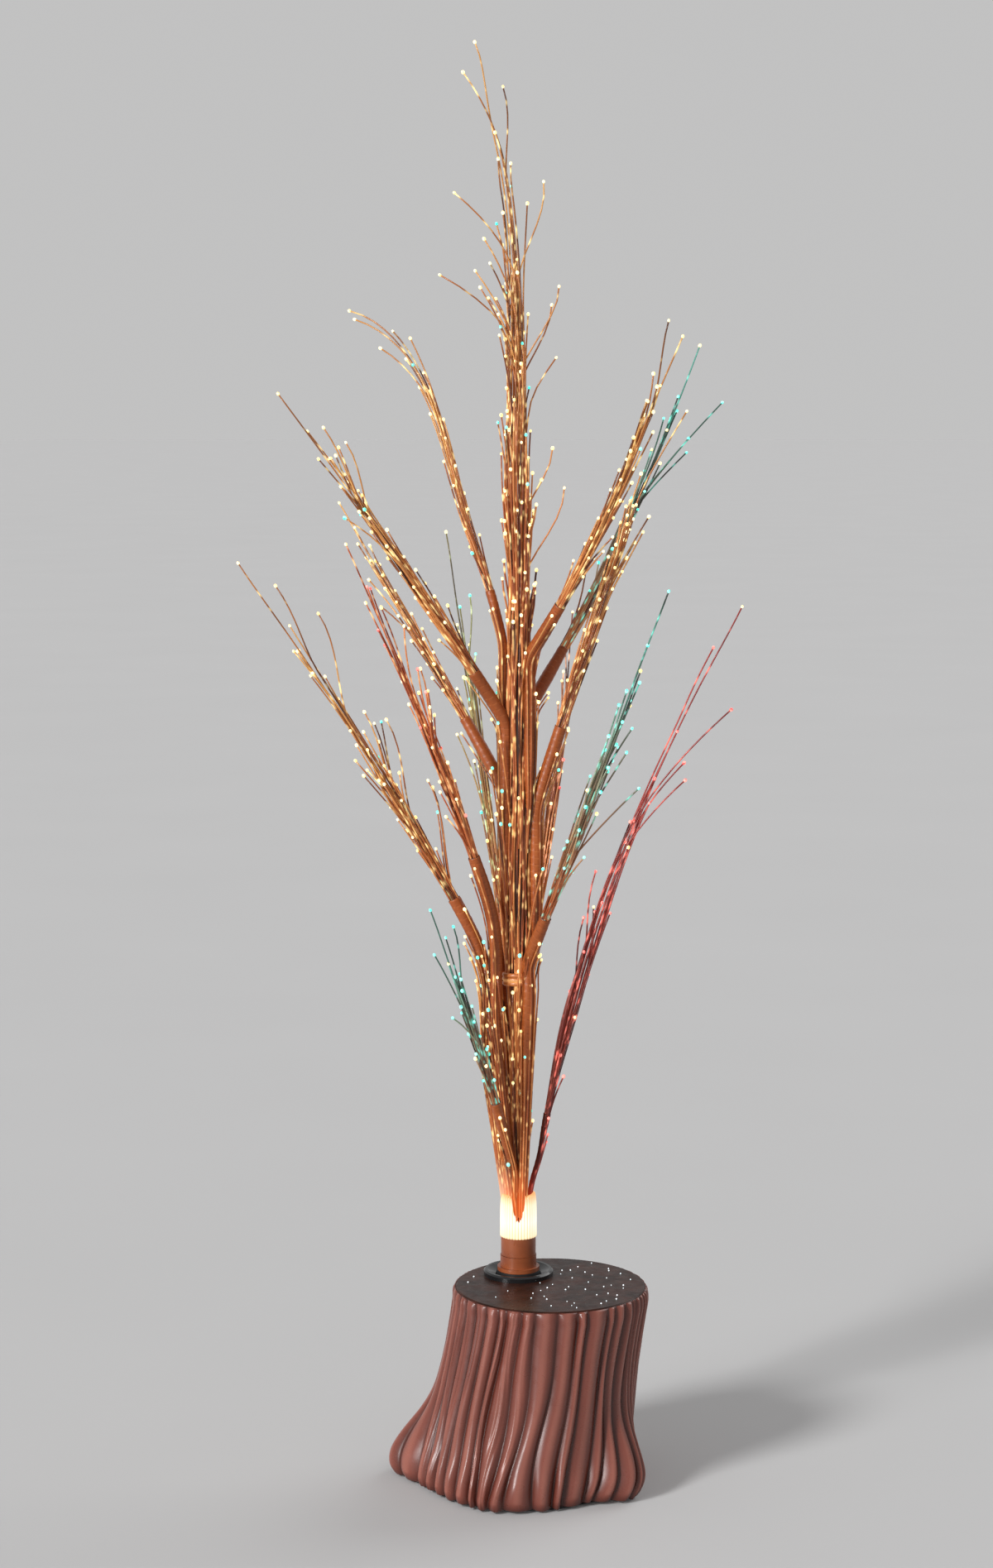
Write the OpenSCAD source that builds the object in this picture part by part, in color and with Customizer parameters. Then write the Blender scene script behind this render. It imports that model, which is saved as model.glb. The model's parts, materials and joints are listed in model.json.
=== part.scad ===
// Fibre optic tree: a trunk of light-guiding fibres that branches out above a moulded stump.
// The stump holds a lamp, a turning colour wheel and the wheel's gear motor.
// Millimetres, +Z up. The origin is on the floor, under the middle of the stump's foot.
// +X is the right of the tree and -Y is its front.

/* [Stump] */
// Height of the stump's top face above the floor
stump_h = 127; // [106:1:155]
// Radius over the ribs at the top face
top_r = 62; // [60:1:76]
// Radius over the ribs at the floor, between the roots
base_r = 67; // [65:1:82]
// Lean of the top to the right
lean_x = 17; // [10:1:20]
// Lean of the top to the back
lean_y = -2; // [-5:1:4]
// Wall of the shell under the creases
wall = 2.6; // [2:0.1:3.5]
// Number of bark ribs
rib_count = 40; // [30:1:48]
// Depth of the creases between the ribs
rib_depth = 2.2; // [1:0.1:3]
// Height at which the roots have faded into the stump
root_h = 42; // [30:1:48]
// Thickness of the top plate
top_t = 4; // [3:0.5:6]
// Thickness of the base plate
base_t = 4; // [3:0.5:6]
// Height of the rubber foot ring
foot_h = 3; // [2:0.5:5]
// Radius of the tie rods that clamp the shell
rod_r = 1.5; // [1.5:0.1:2]

/* [Light] */
// Radius of the lamp's reflector
lamp_r = 17.5; // [15:0.5:18]
// Height of the lamp from its foot to its front
lamp_h = 35.5; // [30:0.5:42]
// Height of the ceramic lamp holder
holder_h = 18; // [14:0.5:22]
// Radius of the gear motor
motor_r = 12; // [10:0.5:13]
// Height of the motor can
can_h = 21; // [16:0.5:22]
// Height of the motor's gearbox
gearbox_h = 20; // [14:0.5:20]
// Radius of the motor's shaft
shaft_r = 2; // [1.5:0.1:2.5]
// Gap between the lamp's front and the colour wheel
beam_gap = 8; // [6:0.5:12]
// Gap between the colour wheel and the fibres' polished end
guide_gap = 7; // [4:0.5:12]

/* [Rear panel] */
// Width of the window in the shell
window_w = 44; // [42:1:50]
// Height of the window in the shell
window_h = 32; // [30:1:38]
// Height of the window's lower edge above the floor
window_z = 9; // [8.5:0.5:12]
// Radius of the cord gland's bore
gland_r = 3.25; // [2.5:0.05:3.6]
// Angle between the switch's two positions
rocker_swing = 20; // [14:1:24]

/* [Trunk] */
// Trunk axis, to the right of the stump's foot
trunk_x = -3; // [-5:1:0]
// Trunk axis, behind the middle of the stump's foot
trunk_y = 22; // [20:1:24]
// Radius of the fibre trunk
trunk_r = 8.5; // [7:0.5:9.5]
// Length of the trunk above the stump
trunk_len = 433; // [425:1:520]
// Length of the leader above the trunk
leader_len = 341; // [280:1:410]
// Height of the lower sleeve above the stump
sleeve_h = 13; // [9:0.5:16]
// Height of the ferrule that shows above the sleeve
ferrule_h = 12; // [8:0.5:16]
// Height of the glowing collar
collar_h = 28; // [20:0.5:34]

/* [Branches] */
// Radius of a branch's taped stem
stem_r = 4.2; // [3.5:0.1:5]
// Length of a branch's taped stem
stem_len = 60; // [50:1:72]
// Spacing of the fibres where they leave the stem
fiber_pitch = 1.35; // [1.1:0.05:1.6]
// Sideways reach of the outermost fibre ends
spread = 18; // [10:1:22]

/* [Hidden] */
$fn = 64;
// Clearances of pieces that are put together, shafts that turn, push fits and threads
fit_gap = 0.3;
run_gap = 0.05;
push_gap = 0.1;
thread_gap = 0.02;
// How far a cut runs past a face
over = 1;

// Each row: height of the foot above the stump, bearing, lean at the foot, lean at the tip, length
BRANCHES = [
    [78, 8, 10, 30, 374],
    [85, 240, 25, 34, 192],
    [173, 115, 12, 26, 313],
    [183, 72, 30, 20, 262],
    [191, 178, 27, 36, 312],
    [208, 302, 33, 30, 280],
    [218, 215, 20, 29, 278],
    [310, 348, 17, 21, 278],
    [318, 155, 32, 36, 206],
    [363, 195, 33, 37, 240],
    [368, 45, 42, 27, 272],
    [403, 320, 38, 20, 222],
    [413, 150, 16, 44, 228],
];
BRANCH_NAMES = [for (i = [1 : len(BRANCHES)]) str("branch_", i < 10 ? "0" : "", i)];

// Each root: bearing, reach past the stump, half width of its lobe in degrees
ROOTS = [[174, 21, 17], [328, 20, 13], [48, 14, 15], [130, 12, 13], [255, 5, 20]];

// Stack of heights from the floor up
floor_z = foot_h + base_t;
lip_z = 1.5;
plate_z = stump_h - top_t;
bracket_t = 1.5;
holder_z = floor_z + bracket_t;
lamp_z = holder_z + holder_h;
lamp_front_z = lamp_z + lamp_h;
wheel_z = lamp_front_z + beam_gap;
wheel_t = 2.4;
panel_t = 0.8;
guide_z = wheel_z + wheel_t + panel_t + guide_gap;
motor_rise = 2;
motor_z = floor_z + motor_rise;
gearbox_z = motor_z + can_h;
bridge_z = gearbox_z + gearbox_h;
bridge_t = 2;

// Shell
ledge = 2.5;
foot_bore_r = base_r - rib_depth - wall;
top_bore_r = top_r - rib_depth - wall;
base_plate_r = foot_bore_r - fit_gap;
top_plate_r = top_r - rib_depth;
spigot_h = 5;
spigot_w = 2.5;
top_pos = [lean_x, lean_y];

// Trunk's foot
trunk_pos = [trunk_x, trunk_y];
ferrule_wall = 1.7;
sleeve_wall = 1.13;
socket_wall = 2.4;
socket_rise = 3;
socket_clear = 0.2;
seat_gap = 0.2;
ferrule_bore_r = trunk_r + push_gap;
spigot_r = ferrule_bore_r + ferrule_wall;
sleeve_bore_r = spigot_r + push_gap;
sleeve_r = sleeve_bore_r + sleeve_wall;
socket_bore_r = sleeve_r + run_gap;
socket_r = socket_bore_r + socket_wall;
socket_top = stump_h + socket_rise;
sleeve_top = stump_h + sleeve_h;
ferrule_top = sleeve_top + seat_gap + ferrule_h;
trunk_top = stump_h + trunk_len;

// Colour wheel and motor beside the lamp
motor_bearing = -63;
lamp_clear = 1.8;
wheel_offset = lamp_r + motor_r + lamp_clear;
wheel_pos = trunk_pos + wheel_offset * [cos(motor_bearing), sin(motor_bearing)];
hub_r = 6;
rim_w = 2;
color_panel_r = wheel_offset + trunk_r;
wheel_r = color_panel_r + rim_w;
rod_clear = 1.2;
rod_bearings = [60, -90, 165];
rod_pos = [for (a = rod_bearings) wheel_pos + (wheel_r + rod_r + rod_clear) * [cos(a), sin(a)]];
boss_wall = 3;
boss_r = rod_r + boss_wall;
boss_len = 10;
boss_roof = 1;
rod_end_gap = 0.6;
nut_ratio = 2.1;
nut_r = rod_r * nut_ratio;
nut_lift = 0.4;
pocket_clear = 0.6;
pocket_r = nut_r + pocket_clear;
pocket_roof = 2;
pocket_depth = base_t - pocket_roof;

// Rear panel
panel_x = 3;
tray_w = window_w - 2 * fit_gap;
tray_h = window_h - 2 * fit_gap;
tray_rim = 2;
tray_floor = 3;
tray_depth = 6;
tray_inset = 4.5;
tray_back = sqrt(pow(foot_bore_r - ledge, 2) - pow(window_w / 2, 2)) - tray_inset;
tray_front = tray_back + tray_floor;
panel_mid_z = window_z + window_h / 2;
switch_dx = -9;
switch_pos = [panel_x + switch_dx, tray_front, panel_mid_z];
gland_dx = 11;
gland_drop = 3;
gland_pos = [panel_x + gland_dx, tray_front, panel_mid_z - gland_drop];
rocker_r = 7.2;
rocker_w = 8.6;
pivot_out = 1;
pivot_y = tray_front + pivot_out;
pivot_r = 1.2;
pivot_bite = 1.2;
flange_t = 2;
switch_depth = 10;
gland_wall = 1.5;
gland_back = 7;
gland_lip = 1.5;

// Branch feet
root_gap = 0.3;
ball_lip = 0.5;
ball_r = stem_r + ball_lip;
hex_rings = 3;
leader_rings = 4;
slice_t = 2;
strand_share = 0.62;
mid_share = 0.35;
mid_spread = 1.7;
shortest_share = 0.34;
inner_spread = 0.3;

BASE_NODES = [
    "stump_shell", "stump_top", "socket_bezel", "trunk_socket", "base_plate", "foot_ring",
    "tie_rods", "tie_nuts", "lamp_bracket", "lamp_holder", "lamp_reflector", "lamp_capsule",
    "motor_can", "motor_gearbox", "motor_bracket", "motor_screws", "rear_panel", "switch_body",
    "cord_gland", "gland_nut", "lead_lamp", "lead_motor",
];
MOVING_NODES = [
    "switch_rocker", "motor_shaft", "wheel_frame", "panel_amber", "panel_red", "panel_teal",
    "turn_sleeve", "trunk_ferrule", "glow_collar", "trunk_core", "leader_fibers",
];
STEM_NODES = [for (name = BRANCH_NAMES) str(name, "_stem")];
FIBER_NODES = [for (name = BRANCH_NAMES) str(name, "_fibers")];

// Vectors of a branch in the upright plane of its bearing
function outward(bearing) = [cos(bearing), sin(bearing), 0];
function sideways(bearing) = [-sin(bearing), cos(bearing), 0];
function along(bearing, lean) = outward(bearing) * sin(lean) + [0, 0, cos(lean)];
function across(bearing, lean) = outward(bearing) * cos(lean) - [0, 0, sin(lean)];
function unit(v) = v / norm(v);
function lean_of(v) = atan2(norm([v.x, v.y]), v.z);

// A point on a round arc that starts at a foot and turns evenly from one lean to another
function arc_point(foot, row, s) =
    let (half_turn = (row[3] - row[2]) * s / row[4] / 2)
    let (chord = abs(half_turn) < 0.01 ? s : s * sin(half_turn) / (half_turn * PI / 180))
    foot + chord * along(row[1], row[2] + half_turn);

function branch_foot(row) =
    concat(trunk_pos, [stump_h + row[0]]) + (trunk_r + root_gap + ball_r) * outward(row[1]);

// Fibre slice: a hexagon of triangles, addressed by two skewed axes
function in_hex(n, q, r) = max(abs(q), abs(r), abs(q + r)) <= n;
function hex_row_start(n, r) = r <= -n ? 0 : hex_row_start(n, r - 1) + 2 * n + 1 - abs(r - 1);
function hex_index(n, q, r) = hex_row_start(n, r) + q - max(-n, -n - r);
function hex_xy(q, r) = fiber_pitch * [q + r / 2, r * sqrt(3) / 2];
function hex_edge(n) =
    let (corners = [[n, 0], [0, n], [-n, n], [-n, 0], [0, -n], [n, -n]])
    let (steps = [[-1, 1], [-1, 0], [0, -1], [1, -1], [1, 0], [0, 1]])
    [for (k = [0 : 5], j = [0 : n - 1]) corners[k] + j * steps[k]];

// Places a flat point in a plane across a fibre bundle
function placed(center, bearing, lean, p) =
    center + across(bearing, lean) * p.x + sideways(bearing) * p.y;

// A spray of fibres that fans out from a slice at the end of a stem.
// Outer fibres are the shortest and turn out the most, so none crosses another.
module spray(foot, row, from, n) {
    start = arc_point(foot, row, from);
    mid_s = from + (row[4] - from) * mid_share;
    mid = arc_point(foot, row, mid_s);
    tip = arc_point(foot, row, row[4]);
    bearing = row[1];
    lean_start = row[2] + (row[3] - row[2]) * from / row[4] / 2;
    lean_mid = row[2] + (row[3] - row[2]) * mid_s / row[4];
    last = tip - mid;
    face = start + slice_t * along(bearing, lean_start);

    lattice = [for (r = [-n : n], q = [max(-n, -n - r) : min(n, n - r)]) [q, r]];
    edge = hex_edge(n);
    corner_of = [[0, 0], [1, 0], [0, 1]];
    strands = [for (c = lattice) if (in_hex(n, c.x + 1, c.y) && in_hex(n, c.x, c.y + 1)) c];
    fillers = [
        for (r = [-n : n - 1], q = [-n : n - 1])
            if (in_hex(n, q + 1, r) && in_hex(n, q + 1, r + 1) && in_hex(n, q, r + 1)) [q, r]
    ];
    lattice_r = n * fiber_pitch;
    inner_r = norm(hex_xy(1 / 3, 1 / 3));
    top_count = len(lattice);
    edge_count = len(edge);
    bottom_center = top_count + edge_count;
    strand_base = bottom_center + 1;

    function strand_center(c) = hex_xy(c.x + 1 / 3, c.y + 1 / 3);
    function strand_corner(c, k) =
        (hex_xy(c.x + corner_of[k].x, c.y + corner_of[k].y) - strand_center(c)) * strand_share;
    function strand_share_out(c) =
        (norm(strand_center(c)) - inner_r) / (lattice_r - inner_r);
    function strand_reach(c) = 1 - (1 - shortest_share) * strand_share_out(c);
    function strand_end(c) =
        unit(strand_center(c)) * spread * (inner_spread + (1 - inner_spread) * strand_share_out(c));

    points = concat(
        [for (c = lattice) placed(face, bearing, lean_start, hex_xy(c.x, c.y))],
        [for (c = edge) placed(start, bearing, lean_start, hex_xy(c.x, c.y))],
        [start],
        [
            for (c = strands) each concat(
                [for (k = [0 : 2])
                    placed(face, bearing, lean_start, strand_center(c) + strand_corner(c, k))],
                [for (k = [0 : 2])
                    placed(mid, bearing, lean_mid, strand_center(c) * mid_spread + strand_corner(c, k))],
                [for (k = [0 : 2])
                    placed(mid + last * strand_reach(c), bearing, lean_mid,
                        strand_end(c) + strand_corner(c, k))]
            )
        ]
    );
    bottom_fan = [
        for (j = [0 : edge_count - 1])
            [bottom_center, top_count + j, top_count + (j + 1) % edge_count]
    ];
    rim = [
        for (j = [0 : edge_count - 1])
            let (next = (j + 1) % edge_count)
            let (a = hex_index(n, edge[j].x, edge[j].y), b = hex_index(n, edge[next].x, edge[next].y))
            each [[top_count + j, a, b], [top_count + j, b, top_count + next]]
    ];
    plain = [
        for (c = fillers)
            [hex_index(n, c.x, c.y + 1), hex_index(n, c.x + 1, c.y + 1), hex_index(n, c.x + 1, c.y)]
    ];
    sleeves = [
        for (i = [0 : len(strands) - 1], k = [0 : 2])
            let (c = strands[i], m = (k + 1) % 3, s = strand_base + 9 * i)
            let (a = hex_index(n, c.x + corner_of[k].x, c.y + corner_of[k].y))
            let (b = hex_index(n, c.x + corner_of[m].x, c.y + corner_of[m].y))
            each [
                [a, s + k, s + m], [a, s + m, b],
                [s + k, s + 3 + k, s + 3 + m], [s + k, s + 3 + m, s + m],
                [s + 3 + k, s + 6 + k, s + 6 + m], [s + 3 + k, s + 6 + m, s + 3 + m],
            ]
    ];
    ends = [for (i = [0 : len(strands) - 1]) let (s = strand_base + 9 * i + 6) [s, s + 2, s + 1]];
    polyhedron(points, concat(bottom_fan, rim, plain, sleeves, ends), convexity = 10);
}

// A tube of flat sides along a route; no stretch of a route may run along the tilt
module tube(route, r, sides = 6) {
    tilt = [0.13, 0.21, 1];
    last = len(route) - 1;
    function way(i) = unit(route[min(i + 1, last)] - route[max(i - 1, 0)]);
    function flank(i) = unit(cross(way(i), tilt));
    points = [
        for (i = [0 : last], k = [0 : sides - 1])
            let (a = 360 * k / sides)
            route[i] + r * (flank(i) * cos(a) + cross(way(i), flank(i)) * sin(a))
    ];
    walls = [
        for (i = [0 : last - 1], k = [0 : sides - 1])
            let (m = (k + 1) % sides, a = i * sides, b = a + sides)
            each [[a + k, b + k, b + m], [a + k, b + m, a + m]]
    ];
    first_cap = [for (k = [1 : sides - 2]) [0, k, k + 1]];
    end_cap = [for (k = [1 : sides - 2]) [last * sides, last * sides + k + 1, last * sides + k]];
    polyhedron(points, concat(walls, first_cap, end_cap), convexity = 6);
}

// Bark: four points a rib, which follow the creases as they wander
RIB_SHAPE = [0, 0.72, 1, 0.72];
bark_points = len(RIB_SHAPE) * rib_count;
// Degrees by which the ribs crowd together in places, and by which the creases wander on their way up
crowd = 1.6;
wander = 1.3;
flare_power = 1.6;
root_power = 3;
function bark_angle(j, share) =
    let (a = 360 * j / bark_points)
    a + crowd * sin(5 * a + 40) + wander * sin(3 * a + 160 * share);
function turn_between(a, b) = abs((a - b + 360 + 180) % 360 - 180);
function root_reach(a, i = 0) =
    i == len(ROOTS) ? 0
    : ROOTS[i][1] * exp(-pow(turn_between(a, ROOTS[i][0]) / ROOTS[i][2], 2)) + root_reach(a, i + 1);
function bark_r(j, z) =
    let (share = z / stump_h, a = bark_angle(j, share))
    top_r + (base_r - top_r) * pow(1 - share, flare_power)
        + root_reach(a) * exp(-pow(z / root_h, root_power))
        - rib_depth * (1 - RIB_SHAPE[j % len(RIB_SHAPE)]);
function shell_center(z) =
    top_pos * min(1, max(0, (z - floor_z) / (plate_z - spigot_h - floor_z)));
function ring_point(j, z, r) =
    let (a = bark_angle(j, z / stump_h))
    concat(shell_center(z) + r * [cos(a), sin(a)], [z]);

SHELL_SHARES = [0.025, 0.07, 0.14, 0.23, 0.36, 0.52, 0.72, 1];
tuck = 1.6;

module stump_shell() {
    heights = [for (share = SHELL_SHARES) lip_z + (plate_z - lip_z) * share];
    bores = [
        [plate_z, top_bore_r], [plate_z - spigot_h - over, top_bore_r],
        [floor_z, foot_bore_r - ledge], [floor_z, foot_bore_r], [lip_z, foot_bore_r],
    ];
    rings = concat(
        [[for (j = [0 : bark_points - 1]) ring_point(j, lip_z, bark_r(j, lip_z) - tuck)]],
        [for (z = heights) [for (j = [0 : bark_points - 1]) ring_point(j, z, bark_r(j, z))]],
        [for (b = bores) [for (j = [0 : bark_points - 1]) ring_point(j, b[0], b[1])]]
    );
    faces = [
        for (k = [0 : len(rings) - 1], j = [0 : bark_points - 1])
            let (up = (k + 1) % len(rings), next = (j + 1) % bark_points)
            let (a = k * bark_points, b = up * bark_points)
            each [[a + j, b + j, b + next], [a + j, b + next, a + next]]
    ];
    color("saddlebrown")
        difference() {
            polyhedron([for (ring = rings) each ring], faces, convexity = 10);
            translate([panel_x - window_w / 2, base_r / 2, window_z])
                cube([window_w, base_r, window_h]);
        }
}

module stump_top() {
    edge = 0.8;
    color("#2a1410")
        difference() {
            union() {
                translate(top_pos)
                    rotate_extrude()
                        polygon([
                            [0, plate_z], [top_plate_r, plate_z], [top_plate_r, stump_h - edge],
                            [top_plate_r - edge, stump_h], [0, stump_h],
                        ]);
                translate(concat(top_pos, [plate_z - spigot_h]))
                    difference() {
                        cylinder(h = spigot_h + over, r = top_bore_r - fit_gap);
                        translate([0, 0, -over])
                            cylinder(h = spigot_h + 3 * over, r = top_bore_r - fit_gap - spigot_w);
                    }
                for (p = rod_pos)
                    translate(concat(p, [plate_z - boss_len]))
                        cylinder(h = boss_len + over, r = boss_r);
            }
            translate(concat(trunk_pos, [plate_z - over]))
                cylinder(h = top_t + 2 * over, r = socket_r + socket_clear);
            for (p = rod_pos)
                translate(concat(p, [plate_z - boss_len - over]))
                    cylinder(h = boss_len + over - boss_roof, r = rod_r + run_gap);
        }
}

module socket_bezel() {
    bezel_w = 8;
    bezel_h = 3.5;
    inner_h = 1.2;
    crest_w = 1.5;
    chamfer = 1;
    inner_r = socket_r + socket_clear;
    outer_r = inner_r + bezel_w;
    color("#111111")
        translate(concat(trunk_pos, [stump_h]))
            rotate_extrude()
                polygon([
                    [inner_r, 0], [outer_r, 0], [outer_r, bezel_h - chamfer],
                    [outer_r - chamfer, bezel_h], [outer_r - chamfer - crest_w, bezel_h],
                    [inner_r, inner_h],
                ]);
}

module trunk_socket() {
    flange_w = 6;
    socket_flange_t = 3;
    guide_cover = 4;
    flange_r = socket_r + flange_w;
    low_z = guide_z + guide_cover;
    color("#1c1c1c")
        translate(trunk_pos)
            rotate_extrude()
                polygon([
                    [socket_bore_r, low_z], [socket_r, low_z], [socket_r, plate_z - socket_flange_t],
                    [flange_r, plate_z - socket_flange_t], [flange_r, plate_z], [socket_r, plate_z],
                    [socket_r, socket_top], [socket_bore_r, socket_top],
                ]);
}

module base_plate() {
    slot_w = 3;
    slot_l = 22;
    slot_x = -26;
    slot_y = -12;
    slot_pitch = 7;
    slot_count = 5;
    color("#3a2a24")
        difference() {
            translate([0, 0, foot_h])
                cylinder(h = base_t, r = base_plate_r);
            for (p = rod_pos) {
                translate(concat(p, [foot_h - over]))
                    cylinder(h = base_t + 2 * over, r = rod_r + run_gap);
                translate(concat(p, [foot_h - over]))
                    cylinder(h = pocket_depth + over, r = pocket_r);
            }
            for (i = [0 : slot_count - 1])
                translate([slot_x, slot_y - slot_pitch * i, foot_h - over])
                    cube([slot_l, slot_w, base_t + 2 * over]);
        }
}

module foot_ring() {
    ring_w = 5;
    ring_inset = 1;
    ring_r = base_plate_r - ring_inset;
    color("#202020")
        difference() {
            cylinder(h = foot_h, r = ring_r);
            translate([0, 0, -over])
                cylinder(h = foot_h + 2 * over, r = ring_r - ring_w);
        }
}

module tie_rods() {
    low_z = foot_h + nut_lift;
    rod_top = plate_z - boss_roof - rod_end_gap;
    color("silver")
        for (p = rod_pos)
            translate(concat(p, [low_z]))
                cylinder(h = rod_top - low_z, r = rod_r);
}

module tie_nuts() {
    color("silver")
        for (p = rod_pos)
            translate(concat(p, [foot_h + nut_lift]))
                difference() {
                    cylinder(h = pocket_depth - nut_lift, r = nut_r, $fn = 6);
                    translate([0, 0, -over])
                        cylinder(h = pocket_depth + over, r = rod_r + thread_gap);
                }
}

holder_r = 9;

module lamp_bracket() {
    cup_h = 14;
    cup_t = 1.5;
    flange_inset = 1.5;
    color("silver")
        translate(trunk_pos)
            difference() {
                union() {
                    translate([0, 0, floor_z])
                        cylinder(h = bracket_t, r = lamp_r - flange_inset);
                    translate([0, 0, floor_z])
                        cylinder(h = cup_h, r = holder_r + fit_gap / 2 + cup_t);
                }
                translate([0, 0, holder_z])
                    cylinder(h = cup_h + over, r = holder_r + fit_gap / 2);
            }
}

pin_r = 0.5;
pin_x = 2;
pin_depth = 8;

module lamp_holder() {
    color("ivory")
        translate(concat(trunk_pos, [holder_z]))
            difference() {
                cylinder(h = holder_h, r = holder_r);
                for (side = [-1, 1])
                    translate([side * pin_x, 0, holder_h - pin_depth - over])
                        cylinder(h = pin_depth + 2 * over, r = pin_r + run_gap);
            }
}

neck_r = 6.5;
neck_bore_r = 4.5;
neck_h = 10;
glass_t = 1.2;

module lamp_reflector() {
    rim_h = 2;
    bowl_h = 6;
    bowl_in = 2.5;
    shoulder_w = 2;
    shoulder_r = neck_r + shoulder_w;
    bowl_z = lamp_h - rim_h - bowl_h;
    bowl_r = lamp_r - bowl_in;
    color("lightcyan")
        translate(concat(trunk_pos, [lamp_z]))
            rotate_extrude()
                polygon([
                    [neck_bore_r, 0], [neck_r, 0], [neck_r, neck_h], [shoulder_r, neck_h],
                    [bowl_r, bowl_z], [lamp_r, lamp_h - rim_h], [lamp_r, lamp_h],
                    [lamp_r - glass_t, lamp_h], [lamp_r - glass_t, lamp_h - rim_h],
                    [bowl_r - glass_t, bowl_z], [shoulder_r - glass_t, neck_h + glass_t],
                    [neck_bore_r, neck_h + glass_t],
                ]);
}

module lamp_capsule() {
    capsule_clear = 0.2;
    capsule_h = 20;
    capsule_sink = 3;
    capsule_r = neck_bore_r - capsule_clear;
    capsule_z = lamp_z + neck_h - capsule_sink;
    color("white")
        translate(concat(trunk_pos, [0])) {
            translate([0, 0, capsule_z])
                cylinder(h = capsule_h - capsule_r, r = capsule_r);
            translate([0, 0, capsule_z + capsule_h - capsule_r])
                cylinder(h = capsule_r, r1 = capsule_r, r2 = capsule_r / 3);
            for (side = [-1, 1])
                translate([side * pin_x, 0, lamp_z - pin_depth])
                    cylinder(h = capsule_z - lamp_z + pin_depth + over, r = pin_r);
        }
}

motor_turn = motor_bearing + 90;
screw_inset = 3.5;
screw_reach = motor_r - screw_inset;
screw_r = 1.3;
screw_bite = 5;
shaft_bite = 10;
end_room = 2;
boss_h = 3;
motor_boss_w = 2;
motor_boss_r = shaft_r + motor_boss_w;
can_inset = 0.5;

module at_motor(z = 0) {
    translate(concat(wheel_pos, [z]))
        rotate(motor_turn)
            children();
}

module motor_can() {
    color("silver")
        at_motor(motor_z)
            cylinder(h = can_h, r = motor_r - can_inset);
}

module motor_gearbox() {
    color("#8a8a8a")
        at_motor(gearbox_z)
            difference() {
                union() {
                    cylinder(h = gearbox_h, r = motor_r);
                    cylinder(h = gearbox_h + bridge_t + boss_h, r = motor_boss_r);
                }
                translate([0, 0, gearbox_h - shaft_bite - end_room])
                    cylinder(h = shaft_bite + end_room + bridge_t + boss_h + over, r = shaft_r + run_gap);
                for (side = [-1, 1])
                    translate([side * screw_reach, 0, gearbox_h - screw_bite - over])
                        cylinder(h = screw_bite + 2 * over, r = screw_r + run_gap);
            }
}

module motor_bracket() {
    leg_clear = 4;
    bracket_w = 18;
    toe = 8;
    leg_x = motor_r + leg_clear;
    bracket_h = bridge_z - floor_z;
    color("lightgray")
        at_motor()
            difference() {
                union() {
                    translate([-leg_x, -bracket_w / 2, bridge_z])
                        cube([2 * leg_x, bracket_w, bridge_t]);
                    for (side = [-1, 1]) {
                        translate([side * (leg_x - bridge_t / 2) - bridge_t / 2, -bracket_w / 2, floor_z])
                            cube([bridge_t, bracket_w, bracket_h + bridge_t]);
                        translate([side * (leg_x + toe / 2 - bridge_t) - toe / 2, -bracket_w / 2, floor_z])
                            cube([toe, bracket_w, bridge_t]);
                    }
                }
                translate([0, 0, bridge_z - over])
                    cylinder(h = bridge_t + 2 * over, r = motor_boss_r + push_gap);
                for (side = [-1, 1])
                    translate([side * screw_reach, 0, bridge_z - over])
                        cylinder(h = bridge_t + 2 * over, r = screw_r + run_gap);
            }
}

module motor_screws() {
    head_r = 2.5;
    head_h = 1.8;
    color("silver")
        at_motor(bridge_z)
            for (side = [-1, 1])
                translate([side * screw_reach, 0, 0]) {
                    translate([0, 0, -screw_bite])
                        cylinder(h = screw_bite + bridge_t + head_h, r = screw_r);
                    translate([0, 0, bridge_t])
                        cylinder(h = head_h, r = head_r);
                }
}

module motor_shaft() {
    shaft_end = 4;
    low_z = bridge_z - shaft_bite;
    color("silver")
        at_motor(low_z)
            cylinder(h = wheel_z + wheel_t + shaft_end - low_z, r = shaft_r);
}

spoke_w = 3;
panel_hub_r = hub_r + fit_gap;

module wheel_frame() {
    hub_h = 8;
    hub_rise = 2;
    rim_lap = 1;
    spoke_inset = 0.3;
    color("#303030")
        at_motor(wheel_z)
            difference() {
                union() {
                    translate([0, 0, wheel_t - hub_h + hub_rise])
                        cylinder(h = hub_h, r = hub_r);
                    difference() {
                        cylinder(h = wheel_t, r = wheel_r);
                        translate([0, 0, -over])
                            cylinder(h = wheel_t + 2 * over, r = color_panel_r - rim_lap);
                    }
                    for (a = [0, 120, 240])
                        rotate(a)
                            translate([hub_r - rim_lap, -spoke_w / 2, spoke_inset])
                                cube([color_panel_r - hub_r + rim_lap, spoke_w, wheel_t - 2 * spoke_inset]);
                }
                translate([0, 0, -hub_h])
                    cylinder(h = 3 * hub_h, r = shaft_r + thread_gap);
            }
}

// One third of the coloured disc, which lies on the frame's rim
module color_panel(turn) {
    sector = 120;
    panel_angle = 118;
    at_motor(wheel_z + wheel_t)
        rotate(turn + (sector - panel_angle) / 2)
            rotate_extrude(angle = panel_angle)
                translate([panel_hub_r, 0])
                    square([color_panel_r + rim_w / 2 - panel_hub_r, panel_t]);
}

module panel_amber() { color("orange") color_panel(0); }
module panel_red() { color("crimson") color_panel(120); }
module panel_teal() { color("teal") color_panel(240); }

switch_hole_w = 12.8;
switch_hole_h = 18.8;

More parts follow.
